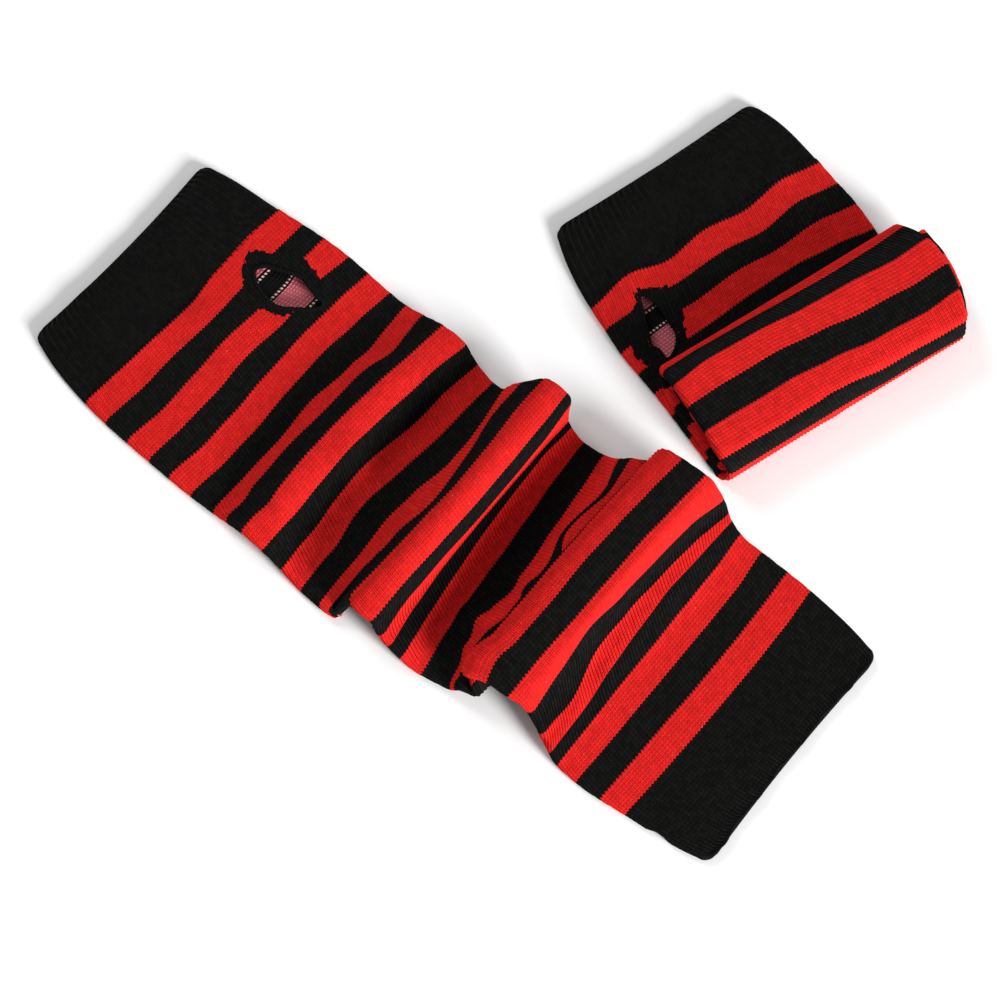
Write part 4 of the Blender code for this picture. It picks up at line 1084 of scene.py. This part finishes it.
class ArmWarmerKnit(bpy.types.PropertyGroup):
    wall: FloatProperty(
        name="Wall", description="Thickness of the knitted wall", default=0.0011, min=0.0005, max=0.003,
        unit="LENGTH", subtype="DISTANCE")
    wale_depth: FloatProperty(
        name="Wale depth", description="Depth of the groove between two wales of the plain knit",
        default=0.0003, min=0.0, max=0.0005, unit="LENGTH", subtype="DISTANCE")
    rib_depth: FloatProperty(
        name="Rib depth", description="Depth of the grooves between the ribs of a cuff",
        default=0.0006, min=0.0, max=0.0010, unit="LENGTH", subtype="DISTANCE")
    stitch_height: FloatProperty(
        name="Stitch height", description="Relief of the yarn within a stitch",
        default=0.0003, min=0.0, max=0.001, unit="LENGTH", subtype="DISTANCE")
    stitch_strength: FloatProperty(
        name="Stitch strength", description="How strongly the stitches are raised", default=0.8,
        min=0.0, max=1.0, subtype="FACTOR")


class ArmWarmerColours(bpy.types.PropertyGroup):
    red: FloatVectorProperty(
        name="Red yarn", description="Colour of the red stripes", default=(0.75, 0.018, 0.016),
        min=0.0, max=1.0, subtype="COLOR")
    black: FloatVectorProperty(
        name="Black yarn", description="Colour of the black stripes, the cuff and the hem",
        default=(0.0055, 0.0053, 0.0050), min=0.0, max=1.0, subtype="COLOR")
    reverse: FloatVectorProperty(
        name="Reverse of red", description="Colour of the red stripes on the inside",
        default=(0.55, 0.13, 0.16), min=0.0, max=1.0, subtype="COLOR")
    fleck: FloatVectorProperty(
        name="Light fibre", description="Colour of the stray fibres of the elastic yarn",
        default=(0.80, 0.55, 0.52), min=0.0, max=1.0, subtype="COLOR")


class ArmWarmerStage(bpy.types.PropertyGroup):
    floor: FloatVectorProperty(
        name="Floor", description="Colour of the floor", default=(0.96, 0.96, 0.96),
        min=0.0, max=1.0, subtype="COLOR")
    sky: FloatProperty(
        name="Sky", description="Strength of the light from all round", default=0.33, min=0.0)
    key: FloatProperty(
        name="Key light", description="Power of the large soft light at the right front", default=160.0,
        min=0.0, unit="POWER")
    fill: FloatProperty(
        name="Fill light", description="Power of the large soft light behind on the left", default=35.0,
        min=0.0, unit="POWER")


# ---------------------------------------------------------------- operators

class ARMWARMERS_OT_long_warmer(bpy.types.Operator):
    """Knit the long arm warmer, bunched into two folds"""
    bl_idname = "armwarmers.long_warmer"
    bl_label = "Long arm warmer"

    def execute(self, context):
        warmer = Warmer(context, "long", LONG_PLACE, Folds(LONG_FOLDS, LONG_PULLS, LONG_CREASES))
        warmer.hand_part(HAND_END, LONG_SURROUND, LONG_OPENING)
        arm = warmer.tube("arm", HAND_END, HEM_START)
        hem = warmer.tube("hem", HEM_START, CLOTH_LENGTH, edges=(False, True), lean=0.0)
        dress(arm, "striped_knit", "long_arm_step", "long_first_fold", "long_second_fold", "long_arm_end")
        dress(hem, "black_knit", "long_arm_hem")
        return {"FINISHED"}


class ARMWARMERS_OT_folded_hand(bpy.types.Operator):
    """Knit the hand part of the folded arm warmer"""
    bl_idname = "armwarmers.folded_hand"
    bl_label = "Folded warmer's hand"

    def execute(self, context):
        folds = Folds(FOLDED_HAND, FOLDED_PULLS, FOLDED_CREASES)
        warmer = Warmer(context, "folded", FOLDED_PLACE, folds)
        warmer.hand_part(TURN_START, FOLDED_SURROUND, FOLDED_OPENING)
        return {"FINISHED"}


class ARMWARMERS_OT_folded_roll(bpy.types.Operator):
    """Roll the rest of the folded arm warmer up on its hand part"""
    bl_idname = "armwarmers.folded_roll"
    bl_label = "Folded warmer's roll"

    def execute(self, context):
        folds = Folds(FOLDED_ROLL, FOLDED_PULLS, FOLDED_CREASES, facing=-1)
        roll = Warmer(context, "folded", FOLDED_PLACE, folds).tube("roll", TURN_START, ROLL_END)
        dress(roll, "striped_knit", "folded_roll")
        return {"FINISHED"}


class ARMWARMERS_OT_stage(bpy.types.Operator):
    """Set the floor, the lights and the camera"""
    bl_idname = "armwarmers.stage"
    bl_label = "Floor, lights and camera"

    def execute(self, context):
        stage = context.scene.arm_warmer_stage
        set_floor(stage)
        set_light("key", KEY_PLACE, KEY_SIZE, stage.key)
        set_light("fill", FILL_PLACE, FILL_SIZE, stage.fill)
        set_sky(context.scene, stage.sky)
        set_camera(context.scene)
        return {"FINISHED"}


def set_floor(stage):
    mesh = bpy.data.meshes.new("floor")
    with edited(mesh) as bm:
        bmesh.ops.create_grid(bm, x_segments=1, y_segments=1, size=FLOOR_HALF)
    material, shader = principled("Pale floor", 0.0)
    shader.inputs["Base Color"].default_value = (*stage.floor, 1.0)
    shader.inputs["Roughness"].default_value = 1.0
    new_piece("floor", mesh, (material,))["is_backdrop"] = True


def set_light(name, place, size, power):
    data = bpy.data.lights.new(name, "AREA")
    data.shape = "DISK"
    data.size = size
    data.energy = power
    light = bpy.data.objects.new(name, data)
    light.location = place
    light.rotation_euler = (CAMERA_TARGET - Vector(place)).to_track_quat("-Z", "Y").to_euler()
    bpy.context.scene.collection.objects.link(light)


def set_sky(scene, strength):
    world = bpy.data.worlds.new("soft studio")
    world.use_nodes = True
    background = world.node_tree.nodes["Background"]
    background.inputs["Color"].default_value = (1.0, 1.0, 1.0, 1.0)
    background.inputs["Strength"].default_value = strength
    scene.world = world
    scene.view_settings.view_transform = "Standard"


def set_camera(scene):
    data = bpy.data.cameras.new("camera")
    data.sensor_width = SENSOR_WIDTH
    data.lens = CAMERA_LENS
    camera = bpy.data.objects.new("camera", data)
    back = Vector((0.0, -math.cos(CAMERA_ELEVATION), math.sin(CAMERA_ELEVATION)))
    camera.location = CAMERA_TARGET + back * CAMERA_DISTANCE
    camera.rotation_euler = (-back).to_track_quat("-Z", "Y").to_euler()
    scene.collection.objects.link(camera)
    scene.camera = camera


class ARMWARMERS_PT_panel(bpy.types.Panel):
    """Sizes, colours and pieces of the pair"""
    bl_idname = "ARMWARMERS_PT_panel"
    bl_label = "Arm warmers"
    bl_space_type = "VIEW_3D"
    bl_region_type = "UI"
    bl_category = "Arm warmers"

    def draw(self, context):
        for name in GROUPS:
            group = getattr(context.scene, name)
            box = self.layout.box()
            for size in group.bl_rna.properties.keys():
                if size not in ("rna_type", "name"):
                    box.prop(group, size)
        for operator in OPERATORS:
            self.layout.operator(operator.bl_idname)


OPERATORS = (ARMWARMERS_OT_stage, ARMWARMERS_OT_long_warmer, ARMWARMERS_OT_folded_hand,
             ARMWARMERS_OT_folded_roll)
GROUPS = {"arm_warmer_knit": ArmWarmerKnit, "arm_warmer_colours": ArmWarmerColours,
          "arm_warmer_stage": ArmWarmerStage}
CLASSES = (*GROUPS.values(), *OPERATORS, ARMWARMERS_PT_panel)


def register():
    for cls in CLASSES:
        bpy.utils.register_class(cls)
    for name, group in GROUPS.items():
        setattr(bpy.types.Scene, name, PointerProperty(type=group))


def unregister():
    for name in GROUPS:
        delattr(bpy.types.Scene, name)
    for cls in reversed(CLASSES):
        bpy.utils.unregister_class(cls)


def main():
    register()
    bpy.ops.armwarmers.stage()
    bpy.ops.armwarmers.long_warmer()
    bpy.ops.armwarmers.folded_hand()
    bpy.ops.armwarmers.folded_roll()
    boxes = {"cad": CAD_BOX, "visual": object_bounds()}
    {name: [list(corner) for corner in box] for name, box in boxes.items()}


if __name__ == "__main__":
    main()
